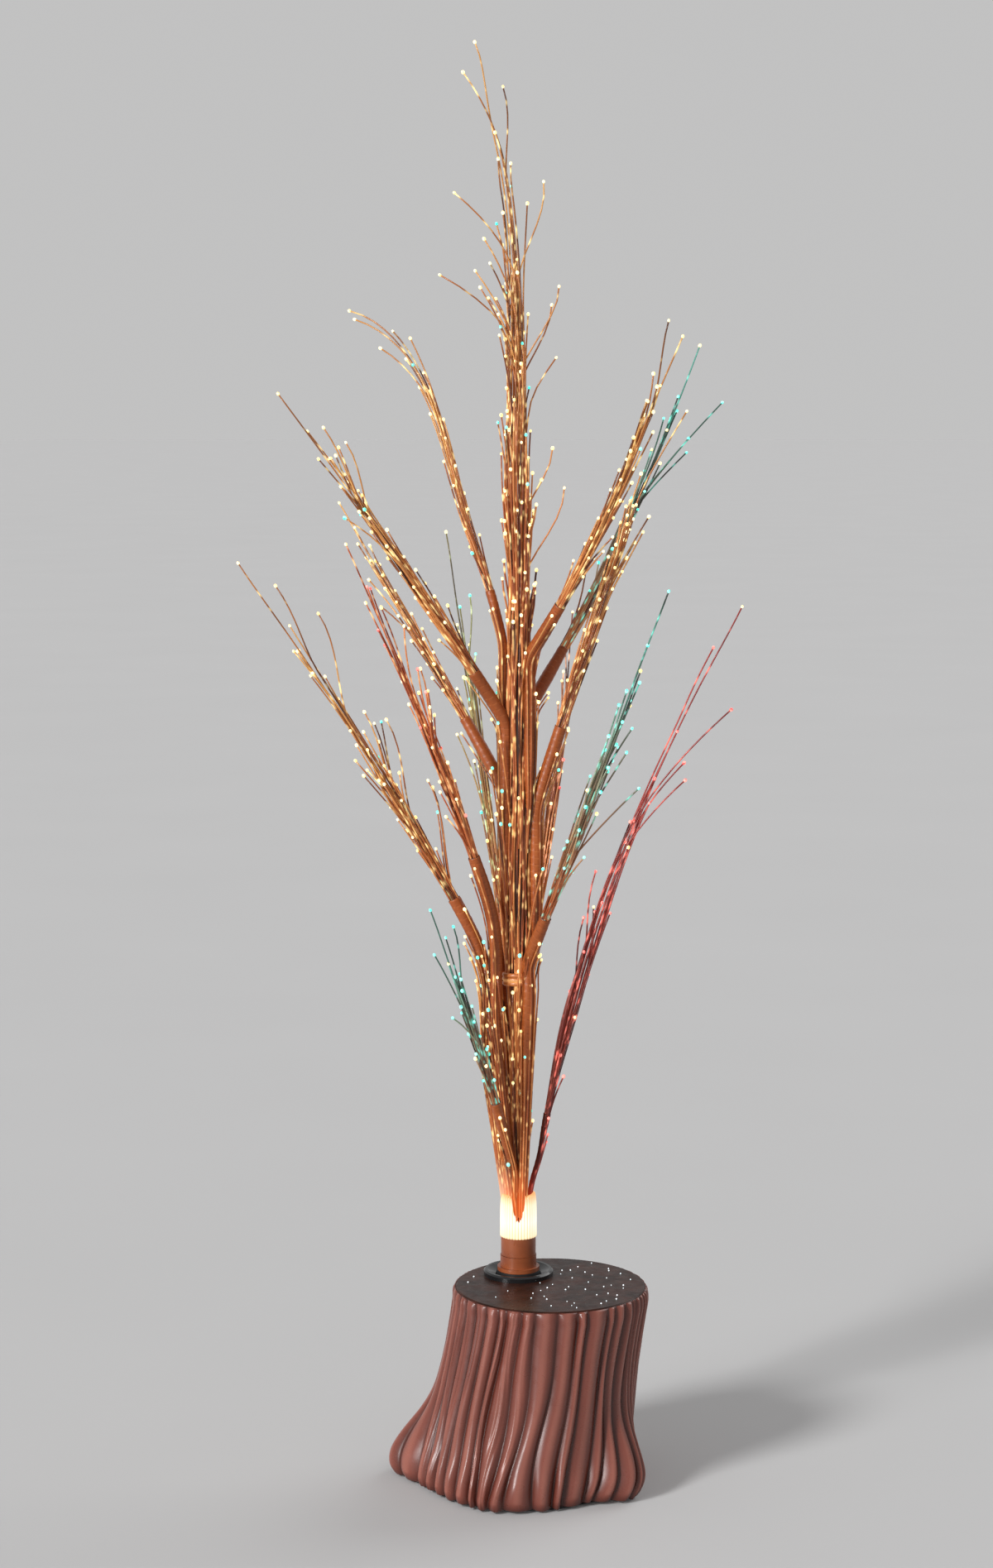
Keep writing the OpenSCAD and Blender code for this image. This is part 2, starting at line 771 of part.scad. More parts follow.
module rear_panel() {
    toe_w = 12;
    toe_h = 6;
    toe_l = 6;
    color("#3a2018")
        difference() {
            union() {
                difference() {
                    translate([panel_x - tray_w / 2, tray_back, window_z + fit_gap])
                        cube([tray_w, tray_depth, tray_h]);
                    translate([panel_x - tray_w / 2 + tray_rim, tray_front, window_z + fit_gap + tray_rim])
                        cube([tray_w - 2 * tray_rim, tray_depth, tray_h - 2 * tray_rim]);
                }
                translate([panel_x - toe_w / 2, tray_back - toe_l, floor_z])
                    cube([toe_w, toe_l + tray_floor / 2, toe_h]);
            }
            translate([switch_pos.x - switch_hole_w / 2, tray_back - over, switch_pos.z - switch_hole_h / 2])
                cube([switch_hole_w, tray_floor + 2 * over, switch_hole_h]);
            translate([gland_pos.x, tray_back - over, gland_pos.z])
                rotate([-90, 0, 0])
                    cylinder(h = tray_floor + 2 * over, r = gland_r + gland_wall + push_gap);
        }
}

module switch_body() {
    swing_clear = 0.4;
    rim = 1.2;
    pocket_back = 5.5;
    pocket_w = rocker_w + 2 * fit_gap;
    pocket_h = 2 * (rocker_r + swing_clear);
    body_w = switch_hole_w - fit_gap;
    body_h = switch_hole_h - fit_gap;
    color("#151515")
        translate([switch_pos.x, tray_front, switch_pos.z])
            difference() {
                union() {
                    translate([-body_w / 2 - rim, 0, -body_h / 2 - rim])
                        cube([body_w + 2 * rim, flange_t, body_h + 2 * rim]);
                    translate([-body_w / 2, -switch_depth, -body_h / 2])
                        cube([body_w, switch_depth + over, body_h]);
                }
                translate([-pocket_w / 2, pivot_y - tray_front - pocket_back, -pocket_h / 2])
                    cube([pocket_w, pocket_back + flange_t, pocket_h]);
                translate([-rocker_w / 2 - pivot_bite - push_gap, pivot_y - tray_front, 0])
                    rotate([0, 90, 0])
                        cylinder(h = rocker_w + 2 * (pivot_bite + push_gap), r = pivot_r + run_gap);
            }
}

module switch_rocker() {
    back_y = 2;
    dish_y = 1.8;
    horn_y = 3.6;
    color("#1e1e1e")
        translate([switch_pos.x, pivot_y, switch_pos.z])
            rotate([-rocker_swing / 2, 0, 0]) {
                intersection() {
                    translate([-rocker_w / 2, 0, 0])
                        rotate([0, 90, 0])
                            cylinder(h = rocker_w, r = rocker_r);
                    translate([-rocker_w / 2 - over, 0, 0])
                        rotate([90, 0, 90])
                            linear_extrude(rocker_w + 2 * over)
                                polygon([
                                    [-back_y, -rocker_r], [horn_y, -rocker_r], [dish_y, 0],
                                    [horn_y, rocker_r], [-back_y, rocker_r],
                                ]);
                }
                translate([-rocker_w / 2 - pivot_bite, 0, 0])
                    rotate([0, 90, 0])
                        cylinder(h = rocker_w + 2 * pivot_bite, r = pivot_r);
            }
}

module cord_gland() {
    color("#111111")
        translate([gland_pos.x, 0, gland_pos.z])
            rotate([-90, 0, 0])
                difference() {
                    union() {
                        translate([0, 0, tray_back - gland_back])
                            cylinder(h = gland_back + tray_floor + over, r = gland_r + gland_wall);
                        translate([0, 0, tray_front])
                            cylinder(h = flange_t, r = gland_r + gland_wall + gland_lip);
                    }
                    translate([0, 0, tray_back - gland_back - over])
                        cylinder(h = gland_back + tray_floor + flange_t + 2 * over, r = gland_r);
                }
}

module gland_nut() {
    nut_t = 4;
    nut_wall = 2.4;
    color("#111111")
        translate([gland_pos.x, tray_back - nut_t, gland_pos.z])
            rotate([-90, 0, 0])
                difference() {
                    cylinder(h = nut_t, r = gland_r + gland_wall + nut_wall, $fn = 6);
                    translate([0, 0, -over])
                        cylinder(h = nut_t + 2 * over, r = gland_r + gland_wall + thread_gap);
                }
}

lead_r = 0.9;
lead_run = 3;
switch_back = tray_front - switch_depth - push_gap;

// Leads leave the switch and meet the holder and the motor square to their faces
module lead_lamp() {
    lead_x = switch_pos.x - 2;
    lead_z = lamp_z - 3;
    holder_back = trunk_y + holder_r + push_gap;
    color("firebrick")
        tube([
            [lead_x, switch_back, lead_z],
            [lead_x, switch_back - lead_run, lead_z],
            [trunk_x - 1, holder_back + lead_run + 1, lead_z],
            [trunk_x, holder_back + 2, lead_z],
            [trunk_x, holder_back, lead_z],
        ], lead_r);
}

module lead_motor() {
    lead_x = switch_pos.x + 3;
    lead_start_z = panel_mid_z - 6;
    lead_z = floor_z + 4;
    plug_bearing = 70;
    plug_gap = 0.2;
    plug = wheel_pos + (motor_r - can_inset + plug_gap) * [cos(plug_bearing), sin(plug_bearing)];
    color("navy")
        tube([
            [lead_x, switch_back, lead_start_z],
            [lead_x, switch_back - lead_run, lead_start_z],
            [lead_x + 6, switch_back - 5, lead_z + 2],
            [trunk_x + lamp_r + 2, trunk_y + 8, lead_z],
            [plug.x + 6, plug.y + 12, lead_z],
            [plug.x + 3, plug.y + 5, lead_z + 1],
            [plug.x, plug.y, lead_z + 2],
        ], lead_r);
}

module turn_sleeve() {
    lip_t = 2.5;
    lip_inset = 0.6;
    guide_cover = 6;
    lip_r = socket_r - lip_inset;
    low_z = guide_z + guide_cover;
    lip_low = socket_top + seat_gap;
    color("#8a4a22")
        translate(trunk_pos)
            rotate_extrude()
                polygon([
                    [sleeve_bore_r, low_z], [sleeve_r, low_z], [sleeve_r, lip_low], [lip_r, lip_low],
                    [lip_r, lip_low + lip_t], [sleeve_r, lip_low + lip_t], [sleeve_r, sleeve_top],
                    [sleeve_bore_r, sleeve_top],
                ]);
}

module trunk_ferrule() {
    shoulder_inset = 0.4;
    shoulder_r = sleeve_r - shoulder_inset;
    color("#8a4a22")
        translate(trunk_pos)
            rotate_extrude()
                polygon([
                    [ferrule_bore_r, guide_z], [spigot_r, guide_z], [spigot_r, sleeve_top + seat_gap],
                    [shoulder_r, sleeve_top + seat_gap], [shoulder_r, ferrule_top],
                    [ferrule_bore_r, ferrule_top],
                ]);
}

module glow_collar() {
    collar_lip = 0.3;
    color("lightyellow")
        translate(concat(trunk_pos, [ferrule_top]))
            difference() {
                cylinder(h = collar_h, r = sleeve_r + collar_lip);
                translate([0, 0, -over])
                    cylinder(h = collar_h + 2 * over, r = ferrule_bore_r);
            }
}

module trunk_core() {
    color("peru")
        translate(concat(trunk_pos, [guide_z]))
            cylinder(h = trunk_top - guide_z, r = trunk_r);
}

module leader_fibers() {
    leader_row = [0, 180, 0, 11, leader_len];
    color("goldenrod")
        spray(concat(trunk_pos, [trunk_top]), leader_row, 0, leader_rings);
}

module branch_stem(i) {
    row = BRANCHES[i];
    foot = branch_foot(row);
    end = arc_point(foot, row, stem_len);
    stem = end - foot;
    color("chocolate")
        translate(foot) {
            sphere(r = ball_r);
            rotate([0, lean_of(stem), row[1]])
                cylinder(h = norm(stem), r = stem_r);
        }
}

module branch_fibers(i) {
    row = BRANCHES[i];
    color("goldenrod")
        spray(branch_foot(row), row, stem_len, hex_rings);
}

stump_shell();
stump_top();
socket_bezel();
trunk_socket();
base_plate();
foot_ring();
tie_rods();
tie_nuts();
lamp_bracket();
lamp_holder();
lamp_reflector();
lamp_capsule();
motor_can();
motor_gearbox();
motor_bracket();
motor_screws();
rear_panel();
switch_body();
cord_gland();
gland_nut();
lead_lamp();
lead_motor();
switch_rocker();
motor_shaft();
wheel_frame();
panel_amber();
panel_red();
panel_teal();
turn_sleeve();
trunk_ferrule();
glow_collar();
trunk_core();
leader_fibers();
for (i = [0 : len(BRANCHES) - 1]) {
    branch_stem(i);
    branch_fibers(i);
}
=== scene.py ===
"""The fibre optic tree's looks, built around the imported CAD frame, in metres."""

import json
import math

import bpy
import numpy as np
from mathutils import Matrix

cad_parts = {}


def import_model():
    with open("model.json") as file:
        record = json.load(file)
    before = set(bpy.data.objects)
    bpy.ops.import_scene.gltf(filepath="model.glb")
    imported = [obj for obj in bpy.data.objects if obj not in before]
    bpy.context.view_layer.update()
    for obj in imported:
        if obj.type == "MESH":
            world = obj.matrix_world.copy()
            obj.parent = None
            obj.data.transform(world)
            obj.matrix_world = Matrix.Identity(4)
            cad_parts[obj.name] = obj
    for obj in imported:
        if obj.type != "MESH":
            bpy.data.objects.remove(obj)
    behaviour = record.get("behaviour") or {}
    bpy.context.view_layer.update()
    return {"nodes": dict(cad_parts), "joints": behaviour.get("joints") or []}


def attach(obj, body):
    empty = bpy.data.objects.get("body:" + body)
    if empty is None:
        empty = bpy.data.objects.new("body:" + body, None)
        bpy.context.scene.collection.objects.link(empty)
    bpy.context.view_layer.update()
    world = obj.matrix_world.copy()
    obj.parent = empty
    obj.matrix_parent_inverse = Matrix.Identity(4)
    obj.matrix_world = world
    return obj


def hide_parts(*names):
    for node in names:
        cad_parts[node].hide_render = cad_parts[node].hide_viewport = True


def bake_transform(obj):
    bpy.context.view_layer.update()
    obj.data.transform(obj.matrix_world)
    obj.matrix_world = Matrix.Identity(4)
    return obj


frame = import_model()
nodes = frame["nodes"]
joint_of = {joint["child"]: joint for joint in frame["joints"]}
rng = np.random.default_rng(71)

MM = 0.001
UP = np.array([0.0, 0.0, 1.0])
TURN = 2 * math.pi
GOLDEN = math.pi * (3 - math.sqrt(5))

# A direction that no strand follows, from which each strand's frame starts
SKEW = [0.31, 0.83, 0.12]

# Sizes that follow the CAD source
STUMP_H = 127 * MM
TOP_R = 62 * MM
BASE_R = 67 * MM
RIB_DEPTH = 2.2 * MM
WALL = 2.6 * MM
ROOT_H = 42 * MM
FLOOR_Z = 7 * MM
PLATE_Z = 123 * MM
PLATE_R = 59.8 * MM
SPIGOT_H = 5 * MM
LEDGE = 2.5 * MM
TOP_CENTER = np.array([17.0, -2.0]) * MM
TRUNK = np.array([-3.0, 22.0, 0.0]) * MM
TRUNK_R = 8.5 * MM
TRUNK_TOP = 560 * MM
LEADER_LEN = 341 * MM
COLLAR_LOW, COLLAR_TOP = 152.2 * MM, 180.2 * MM
COLLAR_R = 11.8 * MM
STEM_LEN = 60 * MM

# Each root: bearing in degrees, reach in mm, half width in degrees
ROOTS = [(174, 21, 17), (328, 20, 13), (48, 14, 15), (130, 12, 13), (255, 5, 20)]

# Each branch: lean at the foot and at the tip in degrees, length in metres, look, fibres, and its stem's
# thickness as a share, length in mm and fibres along it
BRANCHES = {
    "branch_01": (10, 30, 0.374, "red", 28, 0.5, 28, 5),
    "branch_02": (25, 34, 0.192, "teal", 28, 1.0, 38, 5),
    "branch_03": (12, 26, 0.313, "green", 30, 1.0, 60, 18),
    "branch_04": (30, 20, 0.262, "rust", 28, 1.0, 40, 5),
    "branch_05": (27, 36, 0.312, "gold", 44, 1.0, 60, 22),
    "branch_06": (33, 30, 0.280, "teal", 34, 1.0, 34, 5),
    "branch_07": (20, 29, 0.278, "orange", 36, 1.0, 60, 5),
    "branch_08": (17, 21, 0.278, "gold", 42, 1.0, 46, 5),
    "branch_09": (32, 36, 0.206, "gold", 34, 1.0, 46, 5),
    "branch_10": (33, 37, 0.240, "gold", 44, 1.0, 30, 5),
    "branch_11": (42, 27, 0.272, "teal", 28, 1.0, 42, 5),
    "branch_12": (38, 20, 0.222, "gold", 36, 1.0, 34, 5),
    "branch_13": (16, 44, 0.228, "gold", 28, 0.7, 26, 9),
}
FEW_STRANDS = 5

# Branches whose tips curl more than an even arc, and how far they stand off it
BOWED = {"branch_13": 17 * MM, "leader": 11 * MM}

# Bundles that hang looser than the others, and how much
LOOSE = {"branch_01": 1.6}

# Stems that start in the collar: how far from the trunk's axis they fan out and where they join their branch,
# both in mm, and how many degrees aside of their bearing they start
LOW_RUNS = {
    "branch_01": (6.8, 4, 0), "branch_02": (6.8, 8, -15), "branch_03": (11.5, 42, -12),
    "branch_04": (12.8, 0, 6), "branch_05": (17.0, 42, 0), "branch_06": (12.0, 0, -12),
    "branch_07": (15.5, 42, 43),
}

# Where no twig stands out of the trunk, because a branch bends in there: degrees, and the highest foot
CLEAR_BEARING, CLEAR_HALF, CLEAR_TOP = 8, 38, 0.42

# Tape: a turn's width, how far its edge stands out, corners, and the height of the trunk's ring
TAPE_PITCH, TAPE_LIP, TAPE_CORNERS, TAPE_RING_Z = 4.5 * MM, 0.18 * MM, 18, 0.319

# Fibres and beads: corners, radii, a spray fibre's foot and tip radius in mm, bead sizes in mm
FIBRE_CORNERS = 6
TRUNK_FIBRE_R, TWIG_R = 0.66 * MM, 0.52 * MM
SPRAY_FIBRE_R = (0.62, 0.5)
TIP_BEADS, TWIG_BEADS, TRUNK_BEADS = (0.85, 1.2), (0.95, 1.3), (1.0, 1.3)

# How far from the trunk's axis bundles leave the collar
BUNDLE_OUT_R = 6.5 * MM

# Distances named for a stem's bend: this far below its branch's foot and in, and this far along the branch;
# the stems' shapes don't use them
BEND_DROP, BEND_IN, BEND_RISE = 14 * MM, 4 * MM, 12 * MM

# Where each bundle's longest fibres end in the photograph's frame
SEEN_TIPS = {
    "branch_01": [(897, 733), (862, 783), (884, 857), (828, 943), (818, 885), (757, 1018),
                  (720, 1053), (705, 1110)],
    "branch_02": [(542, 1165), (520, 1100), (548, 1120)],
    "branch_03": [(575, 900), (568, 720), (539, 643)],
    "branch_04": [(692, 740)],
    "branch_05": [(288, 681), (333, 708), (385, 742), (440, 860), (467, 870), (430, 920), (517, 943)],
    "branch_06": [(808, 715), (783, 780), (764, 880), (757, 910), (772, 953)],
    "branch_07": [(418, 658), (461, 735), (508, 808)],
    "branch_08": [(830, 497), (784, 625), (775, 572)],
    "branch_09": [(410, 608)],
    "branch_10": [(336, 476), (391, 517), (418, 535), (385, 555)],
    "branch_11": [(846, 417), (873, 486), (832, 530)],
    "branch_12": [(808, 388), (825, 407), (783, 485)],
    "branch_13": [(420, 373), (430, 388)],
    "leader": [(573, 47), (560, 90), (607, 100), (657, 220), (549, 233), (600, 270), (585, 288), (574, 325),
               (531, 328), (592, 317), (580, 345), (590, 358), (602, 378), (676, 350), (667, 372), (612, 467),
               (668, 545), (682, 590)],
}

# Camera and lamps: each lamp's place, its strength, and how wide it looks in radians
PHOTO_WIDE, PHOTO_HIGH = 1200, 1895
CAMERA_PLACE = np.array([-0.017, -1.9, 0.689])
CAMERA_PITCH = 0.1274
LENS, SENSOR = 70.97, 36.0
LAMP_AIM_Z = 0.08
LAMPS = {
    "key": ((-1.5, -1.4, 1.4), 1.9, 0.22),
    "back": ((1.5, 1.2, 1.7), 0.8, 0.7),
    "low": ((-1.3, -1.3, 0.30), 1.4, 0.25),
}

# The world's light, and the grey that the camera sees
STUDIO_LIGHT = (0.31, 0.31, 0.314, 1.0)
SHOWN_GREY = (0.538, 0.5363, 0.536, 1.0)


# Materials: the usual range of a noise, and how far apart strands lie in the noise of their dashes

NOISE_LOW, NOISE_HIGH = 0.3, 0.7
STRANDS_APART = 90.0
WHITE = (1.0, 1.0, 1.0)


class Shader:
    """A material's node tree, with short calls for what the materials here share."""

    def __init__(self, name, roughness=0.5, metallic=0.0):
        self.material = bpy.data.materials.new(name)
        self.material.use_nodes = True
        self.nodes = self.material.node_tree.nodes
        self.links = self.material.node_tree.links
        self.surface = self.nodes["Principled BSDF"]
        self.place = self.nodes.new("ShaderNodeTexCoord").outputs["Object"]
        self.put("Roughness", roughness)
        self.put("Metallic", metallic)

    def feed(self, socket, value):
        """Links another node's output to a socket, or sets the socket's own number or colour."""
        if isinstance(value, bpy.types.NodeSocket):
            self.links.new(value, socket)
        else:
            socket.default_value = (*value, 1.0) if isinstance(value, tuple) else value

    def put(self, title, value):
        self.feed(self.surface.inputs[title], value)

    def node(self, kind, **inputs):
        made = self.nodes.new("ShaderNode" + kind)
        for title, value in inputs.items():
            self.feed(made.inputs[title], value)
        return made

    def noise(self, scale, detail=2.0, stretch=(1, 1, 1)):
        mapping = self.node("Mapping", Vector=self.place)
        mapping.inputs["Scale"].default_value = stretch
        place = mapping.outputs["Vector"]
        return self.node("TexNoise", Scale=scale, Detail=detail, Vector=place).outputs["Fac"]

    def attribute(self, name):
        node = self.node("Attribute")
        node.attribute_name = name
        return node.outputs["Fac"]

    def along(self, axis):
        return self.node("SeparateXYZ", Vector=self.place).outputs[axis]

    def math(self, operation, a, b):
        node = self.node("Math")
        node.operation = operation
        self.feed(node.inputs[0], a)
        self.feed(node.inputs[1], b)
        return node.outputs[0]

    def dashes(self, tone, scale):
        """Noise along the height that differs from strand to strand."""
        apart = self.math("MULTIPLY", tone, STRANDS_APART)
        height = self.math("MULTIPLY", self.along("Z"), scale)
        place = self.node("CombineXYZ", X=apart, Y=height).outputs["Vector"]
        return self.node("TexNoise", Scale=1.0, Detail=1.0, Vector=place).outputs["Fac"]

    def spread(self, value, low, high, new_low=0.0, new_high=1.0):
        limits = {"From Min": low, "From Max": high, "To Min": new_low, "To Max": new_high}
        return self.node("MapRange", Value=value, **limits).outputs["Result"]

    def ramp(self, value, stops):
        node = self.node("ValToRGB", Fac=value)
        elements = node.color_ramp.elements
        while len(elements) < len(stops):
            elements.new(0.5)
        for element, (position, color) in zip(elements, stops):
            element.position = position
            element.color = (*color, 1.0)
        return node.outputs["Color"]

    def uneven(self, value, low, high):
        """A noise's usual range, spread between two numbers."""
        return self.spread(value, NOISE_LOW, NOISE_HIGH, low, high)

    def patchy(self, value, low, high):
        """A noise's usual range, spread between two colours."""
        return self.ramp(value, [(NOISE_LOW, low), (NOISE_HIGH, high)])

    def mix(self, a, b, factor, blend="MIX"):
        node = self.node("Mix")
        node.data_type = "RGBA"
        node.blend_type = blend
        for number, value in ((0, factor), (6, a), (7, b)):
            self.feed(node.inputs[number], value)
        return node.outputs[2]

    def shine(self, color, strength):
        self.put("Base Color", color)
        self.put("Emission Color", color)
        self.put("Emission Strength", strength)

    def bump(self, value, distance, strength):
        node = self.node("Bump", Height=value, Distance=distance, Strength=strength)
        self.put("Normal", node.outputs["Normal"])


def bark_material():
    look = Shader("bark")
    # The crest value paints the ribs: dark in the creases as painted shade and pale on the crests as painted
    # highlight.
    rib = look.ramp(look.attribute("crest"), [
        (0.0, (0.058, 0.012, 0.007)), (0.35, (0.128, 0.031, 0.020)),
        (0.85, (0.222, 0.062, 0.042)), (1.0, (0.310, 0.104, 0.074)),
    ])
    mottle = look.noise(scale=60, detail=4, stretch=(1, 1, 0.35))
    shade = look.patchy(mottle, (0.78, 0.76, 0.76), WHITE)
    look.put("Base Color", look.mix(rib, shade, 1.0, "MULTIPLY"))
    look.put("Roughness", look.uneven(look.noise(scale=140, detail=3), 0.24, 0.34))
    look.bump(look.noise(scale=300, stretch=(1, 1, 0.12)), distance=0.0003, strength=0.12)
    return look.material


def plate_material():
    look = Shader("top_plate")
    grain = look.noise(scale=90, detail=5)
    look.put("Base Color", look.ramp(grain, [(0.35, (0.020, 0.007, 0.004)), (0.7, (0.056, 0.018, 0.011))]))
    look.put("Roughness", look.uneven(look.noise(scale=200), 0.24, 0.38))
    look.put("Specular IOR Level", 0.12)
    look.bump(look.noise(scale=500, detail=3), distance=0.0003, strength=0.4)
    return look.material


def plastic_material(name, low, high, roughness, grain=400, depth=0.0002):
    smoother, rougher = 0.85 * roughness, 1.2 * roughness
    look = Shader(name)
    look.put("Base Color", look.patchy(look.noise(scale=45, detail=4), low, high))
    look.put("Roughness", look.uneven(look.noise(scale=160, detail=3), smoother, rougher))
    look.bump(look.noise(scale=grain), distance=depth, strength=0.4)
    return look.material


def metal_material(name, low, high, roughness, stretch=(1, 1, 12)):
    smoother, rougher = 0.8 * roughness, 1.25 * roughness
    look = Shader(name, metallic=1.0)
    brushed = look.noise(scale=260, detail=3, stretch=stretch)
    look.put("Base Color", look.patchy(brushed, low, high))
    look.put("Roughness", look.uneven(brushed, smoother, rougher))
    look.bump(brushed, distance=0.0001, strength=0.3)
    return look.material


def painted_collar_glow(look, color):
    """Painted light on a bundle where it comes out of the lit collar: a painted glow that fades upwards and
    runs from pale on the left to dark red on the right, and how strong that glow is there.
    """
    glow_full_z, glow_gone_z, glow_most = COLLAR_TOP - 6 * MM, COLLAR_TOP + 24 * MM, 0.8
    left, right = TRUNK[0] - 12 * MM, TRUNK[0] + 12 * MM
    glow_strength = look.spread(look.along("Z"), glow_full_z, glow_gone_z, glow_most, 0.0)
    painted_glow_color = look.ramp(look.spread(look.along("X"), left, right), [
        (0.10, (0.66, 0.38, 0.25)), (0.34, (0.52, 0.110, 0.020)), (0.66, (0.46, 0.080, 0.014)),
        (0.84, (0.22, 0.012, 0.007)),
    ])
    return look.mix(color, painted_glow_color, glow_strength), glow_strength


def tape_material(name, shaded_groove, face, edge):
    """Tape wound round a bundle, with painted shade under each turn's edge and a painted highlight along it.
    """
    look = Shader(name)
    painted_turn_shade_and_edge_highlight = look.ramp(look.attribute("crest"), [(0.0, shaded_groove), (0.16, face), (0.80, face), (1.0, edge)])
    worn = look.patchy(look.noise(scale=75, detail=4, stretch=(1, 1, 0.4)), (0.62, 0.56, 0.52), WHITE)
    # Near the collar the tape takes a painted glow from the lit collar.
    color, glow_strength = painted_collar_glow(look, look.mix(painted_turn_shade_and_edge_highlight, worn, 1.0, "MULTIPLY"))
    look.shine(color, glow_strength)
    look.put("Roughness", look.uneven(look.noise(scale=220, detail=3), 0.28, 0.42))
    look.put("Specular IOR Level", 0.35)
    look.bump(look.noise(scale=700, stretch=(1, 1, 0.15)), distance=0.0002, strength=0.4)
    return look.material


def fibre_material(name, tip, glow):
    """Streaky strands that go from the foot's colours to the tip's, with lit glints on them."""
    streak_scale, streak_most, tone_share = 26.0, 0.5, 0.6
    glint_scale, glint_from, glint_full, glint_most = 120.0, 0.55, 0.72, 0.85
    dim, brightest = 0.14, 0.14 + 0.6 * glint_most
    tone_stops = (0.22, 0.5, 0.85)
    look = Shader("fibre_" + name, roughness=0.28)
    strand = look.attribute("tone")
    streaks = look.uneven(look.dashes(strand, streak_scale), 0.0, streak_most)
    tone = look.math("ADD", look.math("MULTIPLY", strand, tone_share), streaks)
    low = look.ramp(tone, list(zip(tone_stops, RED_FOOT if name == "red" else COPPER)))
    high = look.ramp(tone, list(zip(tone_stops, tip)))
    color = look.mix(low, high, look.spread(look.attribute("along"), 0.15, 0.75))
    dash = look.dashes(strand, glint_scale)
    color = look.mix(color, glow, look.spread(dash, glint_from, glint_full, 0.0, glint_most))
    # Near the collar the strands take a painted glow from the lit collar.
    color, glow_strength = painted_collar_glow(look, color)
    lit = look.spread(dash, glint_from, glint_full, dim, brightest)
    look.shine(color, look.math("MAXIMUM", lit, glow_strength))
    return look.material


def bead_material(name, core, edge, strength):
    look = Shader(name, roughness=0.2)
    look.shine(look.ramp(look.noise(scale=500, detail=1), [(0.35, edge), (0.6, core)]), strength)
    return look.material


def glow_material():
    look = Shader("glow", roughness=0.4)
    rise = look.spread(look.along("Z"), COLLAR_LOW - 2 * MM, COLLAR_TOP + 1 * MM)
    bright = look.ramp(rise, [
        (0.0, (1.0, 0.50, 0.14)), (0.10, (1.0, 0.90, 0.62)), (0.40, (1.0, 0.98, 0.90)),
        (0.75, (1.0, 0.92, 0.68)), (1.0, (1.0, 0.40, 0.10)),
    ])
    # The grooves between the flutes glow darker and more orange: painted shade.
    shaded_groove = look.ramp(look.attribute("crest"), [(0.0, (0.95, 0.62, 0.30)), (0.55, WHITE)])
    color = look.mix(bright, shaded_groove, 1.0, "MULTIPLY")
    look.put("Base Color", look.mix(color, (0.20, 0.13, 0.06), 0.85))
    look.put("Emission Color", color)
    look.put("Emission Strength", 0.94)
    return look.material


def tint_material(name, color):
    look = Shader(name, roughness=0.12)
    dim = tuple(0.7 * part for part in color)
    look.put("Base Color", look.patchy(look.noise(scale=80), dim, color))
    look.put("Transmission Weight", 0.5)
    return look.material


COPPER = ((0.062, 0.012, 0.004), (0.345, 0.080, 0.021), (0.600, 0.215, 0.062))
RED_FOOT = ((0.040, 0.006, 0.004), (0.150, 0.020, 0.013), (0.250, 0.050, 0.030))

# Each look's dark, middle and bright tip colours, and its glints' colour
LOOKS = {
    "copper": (*COPPER, (1.0, 0.66, 0.26)),
    "gold": ((0.090, 0.026, 0.007), (0.390, 0.138, 0.034), (0.720, 0.385, 0.115), (1.0, 0.78, 0.34)),
    "orange": ((0.250, 0.042, 0.013), (0.580, 0.130, 0.038), (0.760, 0.270, 0.085), (1.0, 0.58, 0.26)),
    "red": ((0.060, 0.006, 0.005), (0.250, 0.022, 0.018), (0.420, 0.060, 0.048), (0.95, 0.20, 0.15)),
    "rust": ((0.075, 0.018, 0.008), (0.300, 0.085, 0.036), (0.500, 0.200, 0.085), (1.0, 0.50, 0.30)),
    "teal": ((0.016, 0.030, 0.022), (0.070, 0.165, 0.125), (0.130, 0.400, 0.320), (0.22, 0.92, 0.74)),
    "green": ((0.045, 0.032, 0.012), (0.170, 0.140, 0.050), (0.310, 0.330, 0.130), (0.70, 0.90, 0.46)),
}
FIBRES = {look: fibre_material(look, tip, glow) for look, (*tip, glow) in LOOKS.items()}
STEM_TAPE = tape_material("stem_tape", (0.140, 0.029, 0.008), (0.420, 0.104, 0.024), (0.580, 0.190, 0.060))
RED_TAPE = tape_material("red_tape", (0.050, 0.008, 0.005), (0.130, 0.019, 0.012), (0.190, 0.036, 0.024))
# A dark core that shows in the gaps between strands and on a stem's end: painted shade.
BUNDLE_SHADE = plastic_material("bundle_dark", (0.020, 0.006, 0.003), (0.060, 0.016, 0.006), 0.55)
BEAD_WARM = bead_material("bead_warm", (1.0, 0.88, 0.52), (1.0, 0.70, 0.24), 1.1)
BEAD_PALE = bead_material("bead_pale", (0.92, 0.97, 1.0), (0.75, 0.88, 0.92), 0.9)
BEAD_TEAL = bead_material("bead_teal", (0.36, 1.0, 0.84), (0.04, 0.72, 0.56), 1.0)
BEAD_RED = bead_material("bead_red", (1.0, 0.34, 0.28), (0.88, 0.06, 0.06), 0.9)
BEADS = {
    "copper": (BEAD_WARM, BEAD_TEAL, 0.18),
    "gold": (BEAD_WARM, BEAD_TEAL, 0.06),
    "orange": (BEAD_WARM, BEAD_RED, 0.3),
    "red": (BEAD_RED, BEAD_WARM, 0.1),
    "rust": (BEAD_WARM, BEAD_RED, 0.3),
    "teal": (BEAD_TEAL, BEAD_WARM, 0.1),
    "green": (BEAD_WARM, BEAD_TEAL, 0.4),
}


# Mesh helpers: how often a path's corners are eased, and what makes the greatest bow come out as 1

EASING_PASSES = 8
BOW_PEAK = 6.75


def unit(v):
    return v / np.linalg.norm(v)


def turned(angle):
    return np.array([math.cos(angle), math.sin(angle), 0.0])


def smooth(x):
    x = np.clip(x, 0, 1)
    return x * x * (3 - 2 * x)


